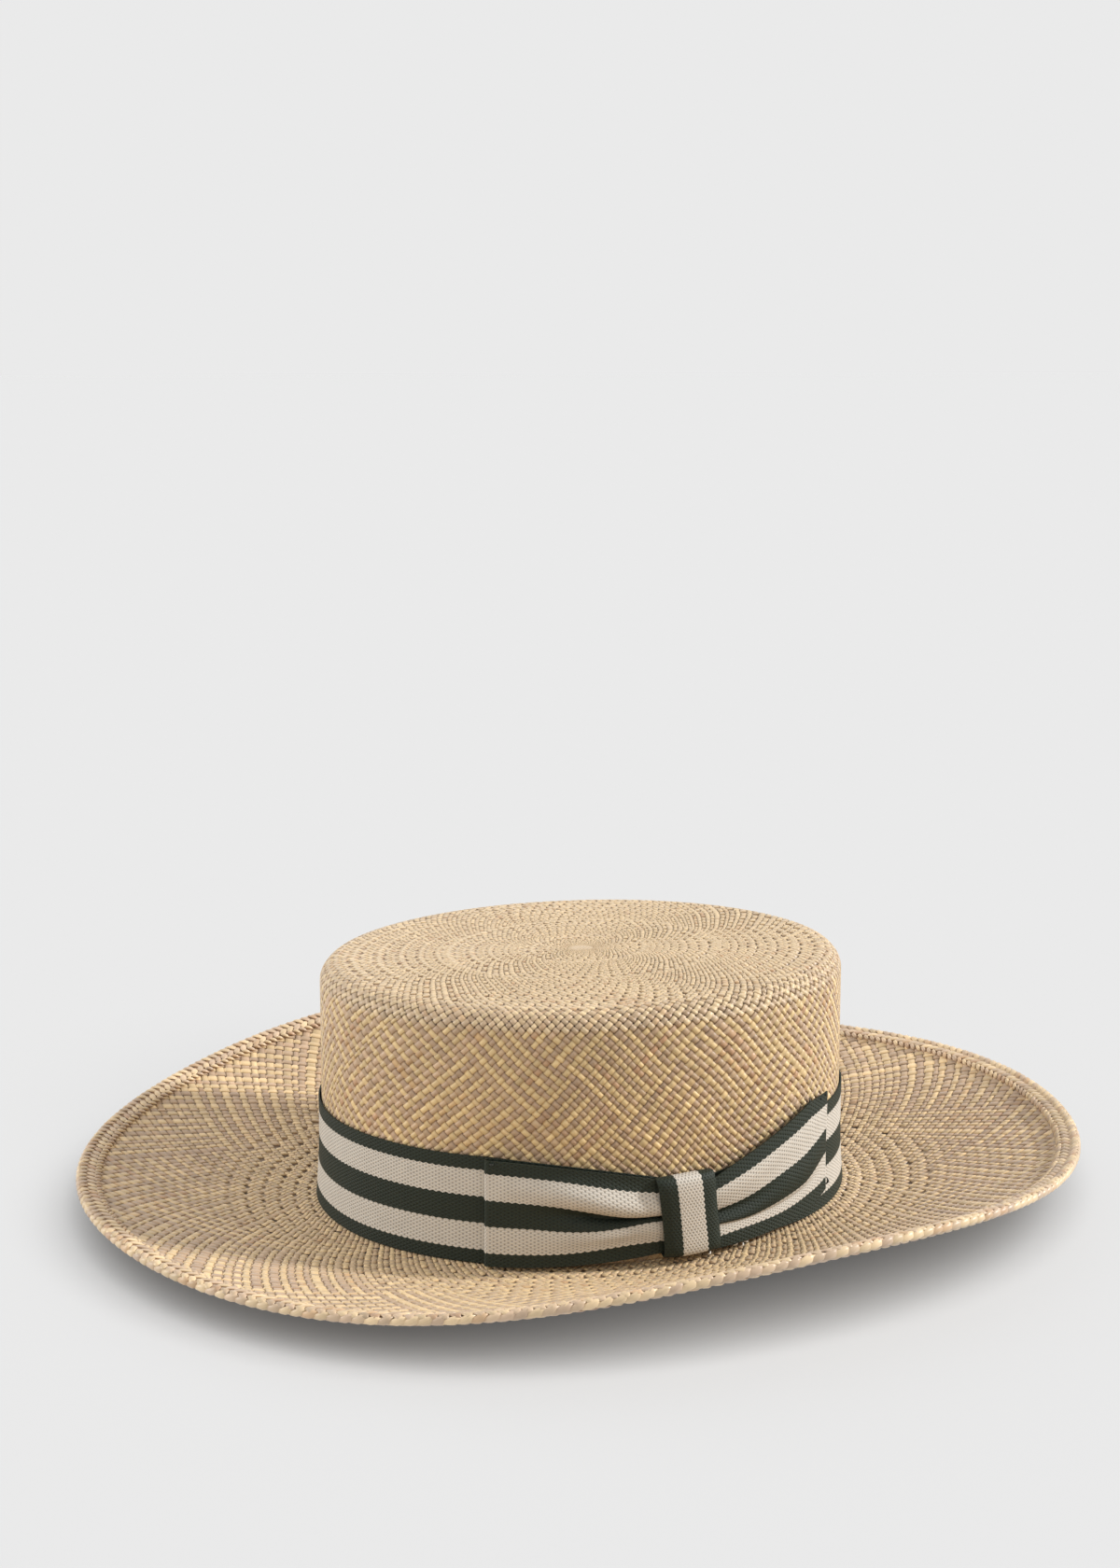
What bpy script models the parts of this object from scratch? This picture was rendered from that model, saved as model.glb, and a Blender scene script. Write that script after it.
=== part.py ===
"""Straw boater hat: a woven crown and brim, a plaited edge and a striped ribbon with a flat bow.

Metres, +Z up. The hat stands on the flat ring of its brim round the head opening. Its front is towards -Y and
the wearer's left, where the bow sits, towards +X. The origin is on the ground under the middle of the crown.

Everything is laid out on the head oval: a place is an angle round it, from the front (0) past the bow side (90)
to the back (180), a distance out from the oval and a height.
"""

import math

import bmesh
import bpy

# The head oval, measured on the outside of the crown's wall.
HALF_LENGTH = 0.1005
HALF_WIDTH = 0.0795
SEGMENTS = 72
GAP = 0.0003
SHARP_ANGLE = 40.0

# Woven straw.
STRAW_WALL = 0.0020
CROWN_TOP = 0.0934
CROWN_BASE = STRAW_WALL + 0.0005
CROWN_EDGE_RADIUS = 0.0075
CROWN_FLARE = 0.0014
CROWN_FLARE_HEIGHT = 0.030
CROWN_TAPER = 0.0008
CROWN_TOP_RISE = 0.0006
CROWN_WALL_HEIGHTS = (0.008, 0.015, CROWN_FLARE_HEIGHT, 0.055)  # sections between its foot and its shoulder
CROWN_EDGE_TURNS = (22.5, 45.0, 67.5, 90.0)
CROWN_TOP_SHARES = (0.66, 0.33)

# Brim: a flat ring, then a rise that steepens towards the edge.
BRIM_WIDTH = 0.0897
BRIM_FLAT = 0.0100
BRIM_POWER = 1.3
BRIM_HEIGHT = 0.0244
BRIM_WAVES = (  # (waves round the brim, cosine part, sine part)
    (1, -0.0022, 0.0056),
    (2, -0.0049, -0.0045),
    (4, 0.0018, 0.0019),
)
BRIM_ROWS = 8
BRAID_WIDTH = 0.0084
BRAID_THICKNESS = 0.0036
BRAID_SIDES = 8

# Ribbon. The band is drawn in from both edges behind the knot.
RIBBON_WALL = 0.0009
RIBBON_WIDTH = 0.0390
BAND_BOTTOM = 0.0026
KNOT_ANGLE = 99.2
PINCH_HALF_ANGLE = 42.0
PINCH_TOP = 0.0095
PINCH_BOTTOM = 0.0025
BAND_ROWS = 4

# Bow pieces, as angles in degrees and distances out from the crown's wall.
LOOP_FOLD_ANGLE = 58.6
LOOP_INNER_OUT = 0.0021
LOOP_OUTER_OUT = 0.0052
LOOP_KNOT_LOW = 0.0060
LOOP_KNOT_HIGH = 0.0352
LOOP_GATHER_POWER = 1.6
LOOP_FOLD_TURNS = (45.0, 90.0, 135.0)
KNOT_HALF_ANGLE = 6.4
KNOT_LOW = 0.0064
KNOT_HIGH = 0.0352
KNOT_BACK = 0.0018
KNOT_FRONT = 0.0088
KNOT_BEVEL = 0.0016
KNOT_LEAN = -0.10
KNOT_CUTS = (-0.3, 0.0, 0.3)  # shares of its width where it may bend
TAIL_END_ANGLE = 141.0
TAIL_CORNER_ANGLE = 132.5
TAIL_KNOT_OUT = 0.0050
TAIL_END_OUT = 0.0023
TAIL_OUT_POWER = 0.8
TAIL_KNOT_LOW = 0.0080
TAIL_KNOT_HIGH = 0.0305
TAIL_END_LOW = 0.0117
TAIL_END_HIGH = 0.0478
BOW_SIDE_GAP_ANGLE = 0.5
BOW_STEP_ANGLE = 2.5
BOW_ROWS = 5

FINISHES = {  # (colour, roughness)
    "straw": ((0.62, 0.47, 0.29, 1.0), 0.62),
    "straw_edge": ((0.58, 0.43, 0.27, 1.0), 0.60),
    "ribbon": ((0.13, 0.15, 0.11, 1.0), 0.80),
}


def oval_place(angle, out):
    """The x and y of a point at an angle in degrees, moved out from the head oval along its normal."""
    turn = math.radians(angle)
    normal_x = math.sin(turn) / HALF_WIDTH
    normal_y = -math.cos(turn) / HALF_LENGTH
    size = math.hypot(normal_x, normal_y)
    x = HALF_WIDTH * math.sin(turn) + out * normal_x / size
    y = -HALF_LENGTH * math.cos(turn) + out * normal_y / size
    return x, y


def wall_out(height):
    """How far the crown's wall stands out from the head oval at a height."""
    flare = max(0.0, 1.0 - height / CROWN_FLARE_HEIGHT)
    return CROWN_FLARE * flare**2 - CROWN_TAPER * height / CROWN_TOP


def wall_place(angle, out, height):
    """A point at a distance out from the crown's wall."""
    x, y = oval_place(angle, wall_out(height) + out)
    return x, y, height


def round_angles():
    """The angles of the sections that all round pieces share."""
    return [360.0 * i / SEGMENTS for i in range(SEGMENTS)]


def sheet(rows, closed):
    """A bmesh of quads through rows of points, which run up or outwards; closed joins each row's ends."""
    mesh = bmesh.new()
    lines = [[mesh.verts.new(point) for point in row] for row in rows]
    for lower, upper in zip(lines, lines[1:]):
        count = len(lower)
        for i in range(count if closed else count - 1):
            j = (i + 1) % count
            mesh.faces.new((lower[i], lower[j], upper[j], upper[i]))
    return mesh, lines


def add_piece(name, mesh, finish, parent):
    """Make a bmesh into a named object with its finish."""
    data = bpy.data.meshes.new(name)
    mesh.to_mesh(data)
    mesh.free()
    data.shade_smooth()
    data.set_sharp_from_angle(angle=math.radians(SHARP_ANGLE))
    data.materials.append(finish)
    piece = bpy.data.objects.new(name, data)
    bpy.context.scene.collection.objects.link(piece)
    piece.parent = parent
    return piece


def give_wall(piece, thickness, side):
    """Turn a sheet into a closed wall: side -1 grows it inwards and 0 to both sides."""
    wall = piece.modifiers.new("wall", "SOLIDIFY")
    wall.thickness = thickness
    wall.offset = side
    wall.use_even_offset = True
    wall.use_rim = True


def make_finish(name):
    """A Principled material with the finish's colour and roughness."""
    colour, roughness = FINISHES[name]
    material = bpy.data.materials.new(name)
    material.use_nodes = True
    shader = material.node_tree.nodes["Principled BSDF"]
    shader.inputs["Base Color"].default_value = colour
    shader.inputs["Roughness"].default_value = roughness
    shader.inputs["Metallic"].default_value = 0.0
    return material


def make_crown(finish, parent):
    """The hollow crown: a wall that flares at its foot, a rounded top edge and a nearly flat top."""
    shoulder = CROWN_TOP - CROWN_EDGE_RADIUS
    heights = [CROWN_BASE, *CROWN_WALL_HEIGHTS, shoulder]
    rows = [[wall_place(a, 0.0, z) for a in round_angles()] for z in heights]
    for turn in CROWN_EDGE_TURNS:
        inward = CROWN_EDGE_RADIUS * (1.0 - math.cos(math.radians(turn)))
        height = shoulder + CROWN_EDGE_RADIUS * math.sin(math.radians(turn))
        out = wall_out(shoulder) - inward
        rows.append([(*oval_place(a, out), height) for a in round_angles()])
    top_edge = rows[-1]
    for share in CROWN_TOP_SHARES:
        height = CROWN_TOP + CROWN_TOP_RISE * (1.0 - share**2)
        rows.append([(x * share, y * share, height) for x, y, _ in top_edge])
    mesh, lines = sheet(rows, closed=True)
    middle = mesh.verts.new((0.0, 0.0, CROWN_TOP + CROWN_TOP_RISE))
    for i, corner in enumerate(lines[-1]):
        mesh.faces.new((corner, lines[-1][(i + 1) % SEGMENTS], middle))
    give_wall(add_piece("crown", mesh, finish, parent), STRAW_WALL, -1.0)


def edge_height(angle):
    """The height of the brim's outer edge at an angle."""
    turn = math.radians(angle)
    waves = sum(c * math.cos(n * turn) + s * math.sin(n * turn) for n, c, s in BRIM_WAVES)
    return BRIM_HEIGHT + waves


def brim_height(angle, out):
    """The height of the brim's upper face."""
    share = max(0.0, (out - BRIM_FLAT) / (BRIM_WIDTH - BRIM_FLAT))
    return STRAW_WALL + (edge_height(angle) - STRAW_WALL) * share**BRIM_POWER


def edge_slope(angle):
    """The slope of the brim at its outer edge, as an angle in radians."""
    rise = (edge_height(angle) - STRAW_WALL) * BRIM_POWER / (BRIM_WIDTH - BRIM_FLAT)
    return math.atan(rise)


def make_brim(finish, parent):
    """The brim's wall, from the head opening to the plaited edge."""
    inner = wall_out(CROWN_BASE) - STRAW_WALL
    rows = [[(*oval_place(a, inner), STRAW_WALL) for a in round_angles()]]
    for row in range(BRIM_ROWS):
        share = row / (BRIM_ROWS - 1)
        line = []
        for angle in round_angles():
            end = BRIM_WIDTH - (BRAID_WIDTH + 2 * GAP) * math.cos(edge_slope(angle))
            out = BRIM_FLAT + (end - BRIM_FLAT) * share
            line.append((*oval_place(angle, out), brim_height(angle, out)))
        rows.append(line)
    mesh, _ = sheet(rows, closed=True)
    mesh.normal_update()
    for face in mesh.faces:
        if face.normal.z < 0.0:
            face.normal_flip()
    give_wall(add_piece("brim", mesh, finish, parent), STRAW_WALL, -1.0)


def make_edge_braid(finish, parent):
    """The plaited edge: a flat oval section that follows the brim's rim and its slope."""
    rows = []
    for side in range(BRAID_SIDES):
        turn = math.tau * side / BRAID_SIDES
        line = []
        for angle in round_angles():
            slope = edge_slope(angle)
            along = BRAID_WIDTH / 2 * (math.cos(turn) - 1.0)
            across = BRAID_THICKNESS / 2 * math.sin(turn) - STRAW_WALL / 2
            out = BRIM_WIDTH + along * math.cos(slope) - across * math.sin(slope)
            height = edge_height(angle) + along * math.sin(slope) + across * math.cos(slope)
            line.append((*oval_place(angle, out), height))
        rows.append(line)
    mesh, lines = sheet(rows, closed=True)
    first, last = lines[0], lines[-1]
    for i in range(SEGMENTS):
        j = (i + 1) % SEGMENTS
        mesh.faces.new((last[i], last[j], first[j], first[i]))
    bmesh.ops.recalc_face_normals(mesh, faces=mesh.faces)
    add_piece("edge_braid", mesh, finish, parent)


def pinch(angle):
    """How far the band is drawn in at an angle: 1 behind the knot, falling to 0 on both sides."""
    away = abs(angle - KNOT_ANGLE)
    if away > PINCH_HALF_ANGLE:
        return 0.0
    return math.cos(math.pi / 2 * away / PINCH_HALF_ANGLE) ** 2


def band_limits(angle):
    """The band's lower and upper edge at an angle."""
    low = BAND_BOTTOM + PINCH_BOTTOM * pinch(angle)
    high = BAND_BOTTOM + RIBBON_WIDTH - PINCH_TOP * pinch(angle)
    return low, high


def make_hat_band(finish, parent):
    """The ribbon round the foot of the crown."""
    rows = []
    for row in range(BAND_ROWS + 1):
        line = []
        for angle in round_angles():
            low, high = band_limits(angle)
            height = low + (high - low) * row / BAND_ROWS
            line.append(wall_place(angle, GAP + RIBBON_WALL, height))
        rows.append(line)
    mesh, _ = sheet(rows, closed=True)
    give_wall(add_piece("hat_band", mesh, finish, parent), RIBBON_WALL, -1.0)


def ribbon_sheet(name, stations, finish, parent):
    """A length of ribbon on edge against the crown, through stations of (angle, out, low, high)."""
    rows = []
    for row in range(BOW_ROWS):
        share = row / (BOW_ROWS - 1)
        line = [wall_place(a, out, low + (high - low) * share) for a, out, low, high in stations]
        rows.append(line)
    mesh, _ = sheet(rows, closed=False)
    give_wall(add_piece(name, mesh, finish, parent), RIBBON_WALL, 0.0)


def spaced(start, end, step):
    """Evenly spaced values from start to end, about a step apart, and how far along each one is."""
    count = max(1, round(abs(end - start) / step))
    return [(start + (end - start) * i / count, i / count) for i in range(count + 1)]


def make_bow_loop(finish, parent):
    """The flat loop: an inner layer from the knot to the fold and an outer layer back."""
    knot_side = KNOT_ANGLE - KNOT_HALF_ANGLE - BOW_SIDE_GAP_ANGLE
    fold_radius = (LOOP_OUTER_OUT - LOOP_INNER_OUT) / 2
    fold_angle = math.degrees(fold_radius / HALF_LENGTH)
    fold_middle = LOOP_FOLD_ANGLE + fold_angle
    full_low = BAND_BOTTOM + 2 * GAP
    full_high = BAND_BOTTOM + RIBBON_WIDTH

    def limits(angle):
        share = max(0.0, (angle - fold_middle) / (knot_side - fold_middle)) ** LOOP_GATHER_POWER
        low = full_low + (LOOP_KNOT_LOW - full_low) * share
        high = full_high + (LOOP_KNOT_HIGH - full_high) * share
        return low, high

    path = [(a, LOOP_INNER_OUT) for a, _ in spaced(knot_side, fold_middle, BOW_STEP_ANGLE)]
    for turn in LOOP_FOLD_TURNS:
        around = math.radians(turn)
        angle = fold_middle - fold_angle * math.sin(around)
        out = LOOP_INNER_OUT + fold_radius * (1.0 - math.cos(around))
        path.append((angle, out))
    path += [(a, LOOP_OUTER_OUT) for a, _ in spaced(fold_middle, knot_side, BOW_STEP_ANGLE)]
    stations = [(a, out, *limits(a)) for a, out in path]
    ribbon_sheet("bow_loop", stations, finish, parent)


def make_bow_tail(finish, parent):
    """The cut end: it leaves the knot drawn together and fans out to its stitched corners."""
    knot_side = KNOT_ANGLE + KNOT_HALF_ANGLE + BOW_SIDE_GAP_ANGLE
    stations = []
    for angle, share in spaced(knot_side, TAIL_END_ANGLE, BOW_STEP_ANGLE):
        rise = min(1.0, (angle - knot_side) / (TAIL_CORNER_ANGLE - knot_side))
        out = TAIL_KNOT_OUT + (TAIL_END_OUT - TAIL_KNOT_OUT) * share**TAIL_OUT_POWER
        low = TAIL_KNOT_LOW + (TAIL_END_LOW - TAIL_KNOT_LOW) * share
        high = TAIL_KNOT_HIGH + (TAIL_END_HIGH - TAIL_KNOT_HIGH) * rise
        stations.append((angle, out, low, high))
    ribbon_sheet("bow_tail", stations, finish, parent)


def make_bow_knot(finish, parent):
    """The wrapped middle: a soft-edged block bent round the wall."""
    mesh = bmesh.new()
    bmesh.ops.create_cube(mesh, size=1.0)
    width = math.radians(2 * KNOT_HALF_ANGLE) * HALF_LENGTH
    size = (width, KNOT_FRONT - KNOT_BACK, KNOT_HIGH - KNOT_LOW)
    bmesh.ops.scale(mesh, vec=size, verts=mesh.verts)
    front = [e for e in mesh.edges if all(v.co.y < 0.0 for v in e.verts)]
    bmesh.ops.bevel(
        mesh, geom=front, offset=KNOT_BEVEL, segments=2, profile=0.5, affect="EDGES"
    )
    for plane in KNOT_CUTS:
        bmesh.ops.bisect_plane(
            mesh,
            geom=mesh.verts[:] + mesh.edges[:] + mesh.faces[:],
            plane_co=(plane * width, 0.0, 0.0),
            plane_no=(1.0, 0.0, 0.0),
        )
    for vertex in mesh.verts:
        angle = KNOT_ANGLE + math.degrees(vertex.co.x / HALF_LENGTH)
        out = (KNOT_FRONT + KNOT_BACK) / 2 - vertex.co.y
        height = (KNOT_HIGH + KNOT_LOW) / 2 + vertex.co.z + KNOT_LEAN * vertex.co.x
        vertex.co = wall_place(angle, out, height)
    bmesh.ops.triangulate(mesh, faces=mesh.faces)
    bmesh.ops.recalc_face_normals(mesh, faces=mesh.faces)
    add_piece("bow_knot", mesh, finish, parent)


def main():
    """Clear the scene and build the hat's pieces under one empty."""
    for old in list(bpy.data.objects):
        bpy.data.objects.remove(old, do_unlink=True)
    hat = bpy.data.objects.new("hat", None)
    bpy.context.scene.collection.objects.link(hat)
    straw = make_finish("straw")
    straw_edge = make_finish("straw_edge")
    ribbon = make_finish("ribbon")
    make_crown(straw, hat)
    make_brim(straw, hat)
    make_edge_braid(straw_edge, hat)
    make_hat_band(ribbon, hat)
    make_bow_loop(ribbon, hat)
    make_bow_knot(ribbon, hat)
    make_bow_tail(ribbon, hat)


main()
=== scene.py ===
"""Straw boater hat, dressed: woven straw crown and brim, a plaited edge and a striped ribbon with a flat bow.

The straw is laid as two families of strands that spiral round the hat at 45 degrees and pass over and under
each other, cell by cell. The ribbon pieces are grids bent round the foot of the crown. Places on the hat are
a turn round the head oval from the front past the bow side, a distance out from it, and a height.
"""

import logging
import math
from dataclasses import dataclass, field, replace
from enum import Enum
from typing import Callable

import bpy
import numpy as np
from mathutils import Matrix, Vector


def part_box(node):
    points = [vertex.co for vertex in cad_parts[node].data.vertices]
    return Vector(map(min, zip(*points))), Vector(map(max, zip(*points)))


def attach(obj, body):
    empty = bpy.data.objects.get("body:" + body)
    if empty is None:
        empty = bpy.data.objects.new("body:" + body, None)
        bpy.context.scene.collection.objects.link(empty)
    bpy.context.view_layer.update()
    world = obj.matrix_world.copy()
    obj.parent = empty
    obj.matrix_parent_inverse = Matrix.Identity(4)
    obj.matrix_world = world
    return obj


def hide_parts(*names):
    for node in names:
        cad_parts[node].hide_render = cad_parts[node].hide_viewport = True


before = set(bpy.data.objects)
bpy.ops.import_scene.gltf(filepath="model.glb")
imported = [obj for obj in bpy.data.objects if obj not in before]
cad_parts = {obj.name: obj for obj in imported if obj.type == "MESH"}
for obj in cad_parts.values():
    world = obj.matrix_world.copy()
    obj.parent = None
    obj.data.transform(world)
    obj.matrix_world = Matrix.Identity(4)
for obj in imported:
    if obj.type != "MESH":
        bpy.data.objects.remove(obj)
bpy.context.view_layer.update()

Array = np.ndarray
Colour = tuple[float, float, float, float]
Place = Callable[[Array, Array], tuple[Array, Array]]

MM = 0.001
LOG = logging.getLogger("boater")
SEED = 11
CELL_SHADE = 0.15
# How brown the openings are made, as painted shade inside them.
HOLE_SHADE_BROWN = 0.85
HOLE_LEAST = 0.35
SHARP_ANGLE = 50.0


# ---------------------------------------------------------------- form


@dataclass(frozen=True)
class HatForm:
    """The hat's shape: the head oval, the crown's outline and the brim's rise."""

    half_length: float = 100.5 * MM
    half_width: float = 79.5 * MM
    wall: float = 2.0 * MM
    flare: float = 1.4 * MM
    flare_height: float = 30.0 * MM
    taper: float = 0.8 * MM
    crown_edge: float = 7.5 * MM
    crown_rise: float = 0.6 * MM
    brim_width: float = 89.7 * MM
    brim_flat: float = 10.0 * MM
    brim_power: float = 1.3
    brim_level: float = 24.4 * MM
    brim_waves: tuple[tuple[int, float, float], ...] = (
        (1, -2.2 * MM, 5.6 * MM),
        (2, -4.9 * MM, -4.5 * MM),
        (4, 1.8 * MM, 1.9 * MM),
    )
    table_size: int = 721
    crown_top: float = field(init=False)

    def __post_init__(self) -> None:
        """Take the height of the crown's top edge from the frame."""
        object.__setattr__(self, "crown_top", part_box("crown")[1][2] - self.crown_rise)

    @property
    def girth(self) -> float:
        """The length round the head oval."""
        turns = np.linspace(0.0, math.tau, self.table_size)
        return float(np.mean(self._speed(turns[:-1])) * math.tau)

    def _speed(self, turns: Array) -> Array:
        """How fast a point moves along the head oval as its turn grows."""
        return np.hypot(self.half_width * np.cos(turns), self.half_length * np.sin(turns))

    def _lean(self, turns: Array) -> Array:
        """The angle that the oval's normal has turned through, which grows past a whole turn too."""
        raw = np.arctan2(self.half_length * np.sin(turns), self.half_width * np.cos(turns))
        return raw + math.tau * np.round((turns - raw) / math.tau)

    def oval(self, turns: Array, out: Array) -> tuple[Array, Array]:
        """Points moved out from the head oval, and the oval's outward normals there.

        Args:
            turns: Angles round the oval in radians, from the front towards the bow side.
            out: Distances out along the normal.

        Returns:
            The points and the normals, each as rows of x and y.
        """
        normal = np.stack([np.sin(turns) / self.half_width, -np.cos(turns) / self.half_length], axis=-1)
        normal /= np.linalg.norm(normal, axis=-1, keepdims=True)
        base = np.stack([self.half_width * np.sin(turns), -self.half_length * np.cos(turns)], axis=-1)
        return base + normal * np.asarray(out)[..., None], normal

    def turn_at(self, share: Array, out: Array) -> Array:
        """The turn at which a share of the way round an offset of the oval is reached."""
        table = np.linspace(0.0, math.tau, self.table_size)
        speed = self._speed(table)
        steps = (speed[1:] + speed[:-1]) / 2.0 * np.diff(table)
        lengths = np.concatenate([[0.0], np.cumsum(steps)])
        whole = np.floor(share)
        target = (share - whole) * (lengths[-1] + math.tau * out)
        turns = (share - whole) * math.tau
        for _ in range(6):
            reached = np.interp(turns, table, lengths) + out * self._lean(turns)
            bend = self.half_length * self.half_width / self._speed(turns) ** 2
            turns = turns - (reached - target) / (self._speed(turns) + out * bend)
            turns = np.clip(turns, 0.0, math.tau)
        return turns + whole * math.tau

    def wall_out(self, height: Array) -> Array:
        """How far the crown's wall stands out from the head oval at a height."""
        flare = np.clip(1.0 - np.asarray(height) / self.flare_height, 0.0, 1.0)
        return self.flare * flare**2 - self.taper * np.asarray(height) / self.crown_top

    def on_wall(self, turns: Array, out: Array, height: Array) -> Array:
        """Points at a distance out from the crown's wall, as rows of x, y and z."""
        place, _ = self.oval(turns, self.wall_out(height) + out)
        return np.concatenate([place, np.asarray(height)[..., None]], axis=-1)

    def edge_height(self, turns: Array) -> Array:
        """The height of the brim's outer edge."""
        waves = [c * np.cos(n * turns) + s * np.sin(n * turns) for n, c, s in self.brim_waves]
        return self.brim_level + sum(waves)

    def brim_height(self, turns: Array, out: Array) -> Array:
        """The height of the brim's upper face."""
        share = np.clip((out - self.brim_flat) / (self.brim_width - self.brim_flat), 0.0, None)
        return self.wall + (self.edge_height(turns) - self.wall) * share**self.brim_power

    def brim_slope(self, turns: Array, out: Array) -> Array:
        """The brim's slope outwards, as an angle."""
        reach = self.brim_width - self.brim_flat
        share = np.clip((out - self.brim_flat) / reach, 1e-9, None)
        rise = (self.edge_height(turns) - self.wall) / reach
        return np.arctan(rise * self.brim_power * share ** (self.brim_power - 1.0))


@dataclass(frozen=True)
class Wander:
    """A slow sideways drift of the strands: its size, its waves round the hat and its change with the rise."""

    size: float
    waves: float
    climb: float

    def drift(self, share: Array, rise: Array) -> Array:
        """The shares round, moved."""
        return share + self.size * np.sin(math.tau * self.waves * share + self.climb * rise)


# ---------------------------------------------------------------- shader maths


class Socket:
    """A shader value. Arithmetic on it adds Math nodes."""

    def __init__(self, board: "Board", output: bpy.types.NodeSocket) -> None:
        """Keep the board and the output."""
        self.board = board
        self.output = output

    def _math(self, operation: str, *values: "Socket | float") -> "Socket":
        """A Math node on the given values."""
        return self.board.node("ShaderNodeMath", {"operation": operation}, dict(enumerate(values)))

    def __add__(self, other: "Socket | float") -> "Socket":
        """Sum."""
        return self._math("ADD", self, other)

    __radd__ = __add__

    def __sub__(self, other: "Socket | float") -> "Socket":
        """Difference."""
        return self._math("SUBTRACT", self, other)

    def __rsub__(self, other: "Socket | float") -> "Socket":
        """Reflected difference."""
        return self._math("SUBTRACT", other, self)

    def __mul__(self, other: "Socket | float") -> "Socket":
        """Product."""
        return self._math("MULTIPLY", self, other)

    __rmul__ = __mul__

    def __truediv__(self, other: "Socket | float") -> "Socket":
        """Quotient."""
        return self._math("DIVIDE", self, other)

    def __mod__(self, other: float) -> "Socket":
        """Remainder, never negative."""
        return self._math("FLOORED_MODULO", self, other)

    def __abs__(self) -> "Socket":
        """Size without sign."""
        return self._math("ABSOLUTE", self)

    def __gt__(self, other: "Socket | float") -> "Socket":
        """1 where this is more than the other."""
        return self._math("GREATER_THAN", self, other)

    def fract(self) -> "Socket":
        """The part after the point."""
        return self._math("FRACT", self)

    def floor(self) -> "Socket":
        """The whole part."""
        return self._math("FLOOR", self)

    def ramp(self, low: float, high: float) -> "Socket":
        """0 below low, 1 above high, smooth between."""
        return self.board.node(
            "ShaderNodeMapRange",
            {"interpolation_type": "SMOOTHSTEP"},
            {"Value": self, "From Min": low, "From Max": high},
        )


class Board:
    """A material's node tree."""

    def __init__(self, name: str) -> None:
        """Start a material with its own Principled shader."""
        self.material = bpy.data.materials.new(name)
        self.material.use_nodes = True
        self.tree = self.material.node_tree
        self.shader = self.tree.nodes["Principled BSDF"]

    def node(
        self,
        kind: str,
        settings: dict[str, object],
        inputs: dict[str | int, object],
        output: str | int = 0,
    ) -> Socket:
        """Add a node.

        Args:
            kind: The node's type.
            settings: Its own settings, which are set first.
            inputs: Values or links for its sockets, by name or place.
            output: The socket to hand back.

        Returns:
            The chosen output.
        """
        node = self.tree.nodes.new(kind)
        for key, value in settings.items():
            setattr(node, key, value)
        for key, value in inputs.items():
            self.feed(node.inputs[key], value)
        return Socket(self, node.outputs[output])

    def feed(self, target: bpy.types.NodeSocket, value: object) -> None:
        """Link a socket, or set its value."""
        if isinstance(value, Socket):
            self.tree.links.new(value.output, target)
        else:
            target.default_value = value

    def attribute(self, name: str) -> Socket:
        """A number kept on the mesh."""
        return self.node("ShaderNodeAttribute", {"attribute_name": name}, {}, "Fac")

    def uv(self, name: str) -> tuple[Socket, Socket]:
        """The two numbers of a UV map."""
        both = self.node("ShaderNodeUVMap", {"uv_map": name}, {}, "UV")
        parts = self.node("ShaderNodeSeparateXYZ", {}, {0: both}, "X").output.node
        return Socket(self, parts.outputs["X"]), Socket(self, parts.outputs["Y"])

    def vector(self, x: object, y: object, z: object = 0.0) -> Socket:
        """A vector from three numbers."""
        return self.node("ShaderNodeCombineXYZ", {}, {0: x, 1: y, 2: z})

    def noise(self, where: Socket, scale: float, detail: float = 2.0) -> Socket:
        """Smooth noise between 0 and 1."""
        return self.node("ShaderNodeTexNoise", {}, {"Vector": where, "Scale": scale, "Detail": detail}, "Fac")

    def blend(self, share: object, first: object, second: object, how: str = "MIX") -> Socket:
        """A mix of two colours."""
        settings = {"data_type": "RGBA", "blend_type": how}
        return self.node("ShaderNodeMix", settings, {0: share, 6: first, 7: second}, 2)

    def bump(self, height: Socket, depth: float, strength: float) -> Socket:
        """A normal from a height between 0 and 1."""
        inputs = {"Height": height, "Distance": depth, "Strength": strength}
        return self.node("ShaderNodeBump", {}, inputs, "Normal")

    def finish(self, **sockets: object) -> bpy.types.Material:
        """Set the shader's sockets, named with _ for a space, and hand back the material."""
        for name, value in sockets.items():
            self.feed(self.shader.inputs[name.replace("_", " ")], value)
        return self.material


# ---------------------------------------------------------------- finishes


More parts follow.
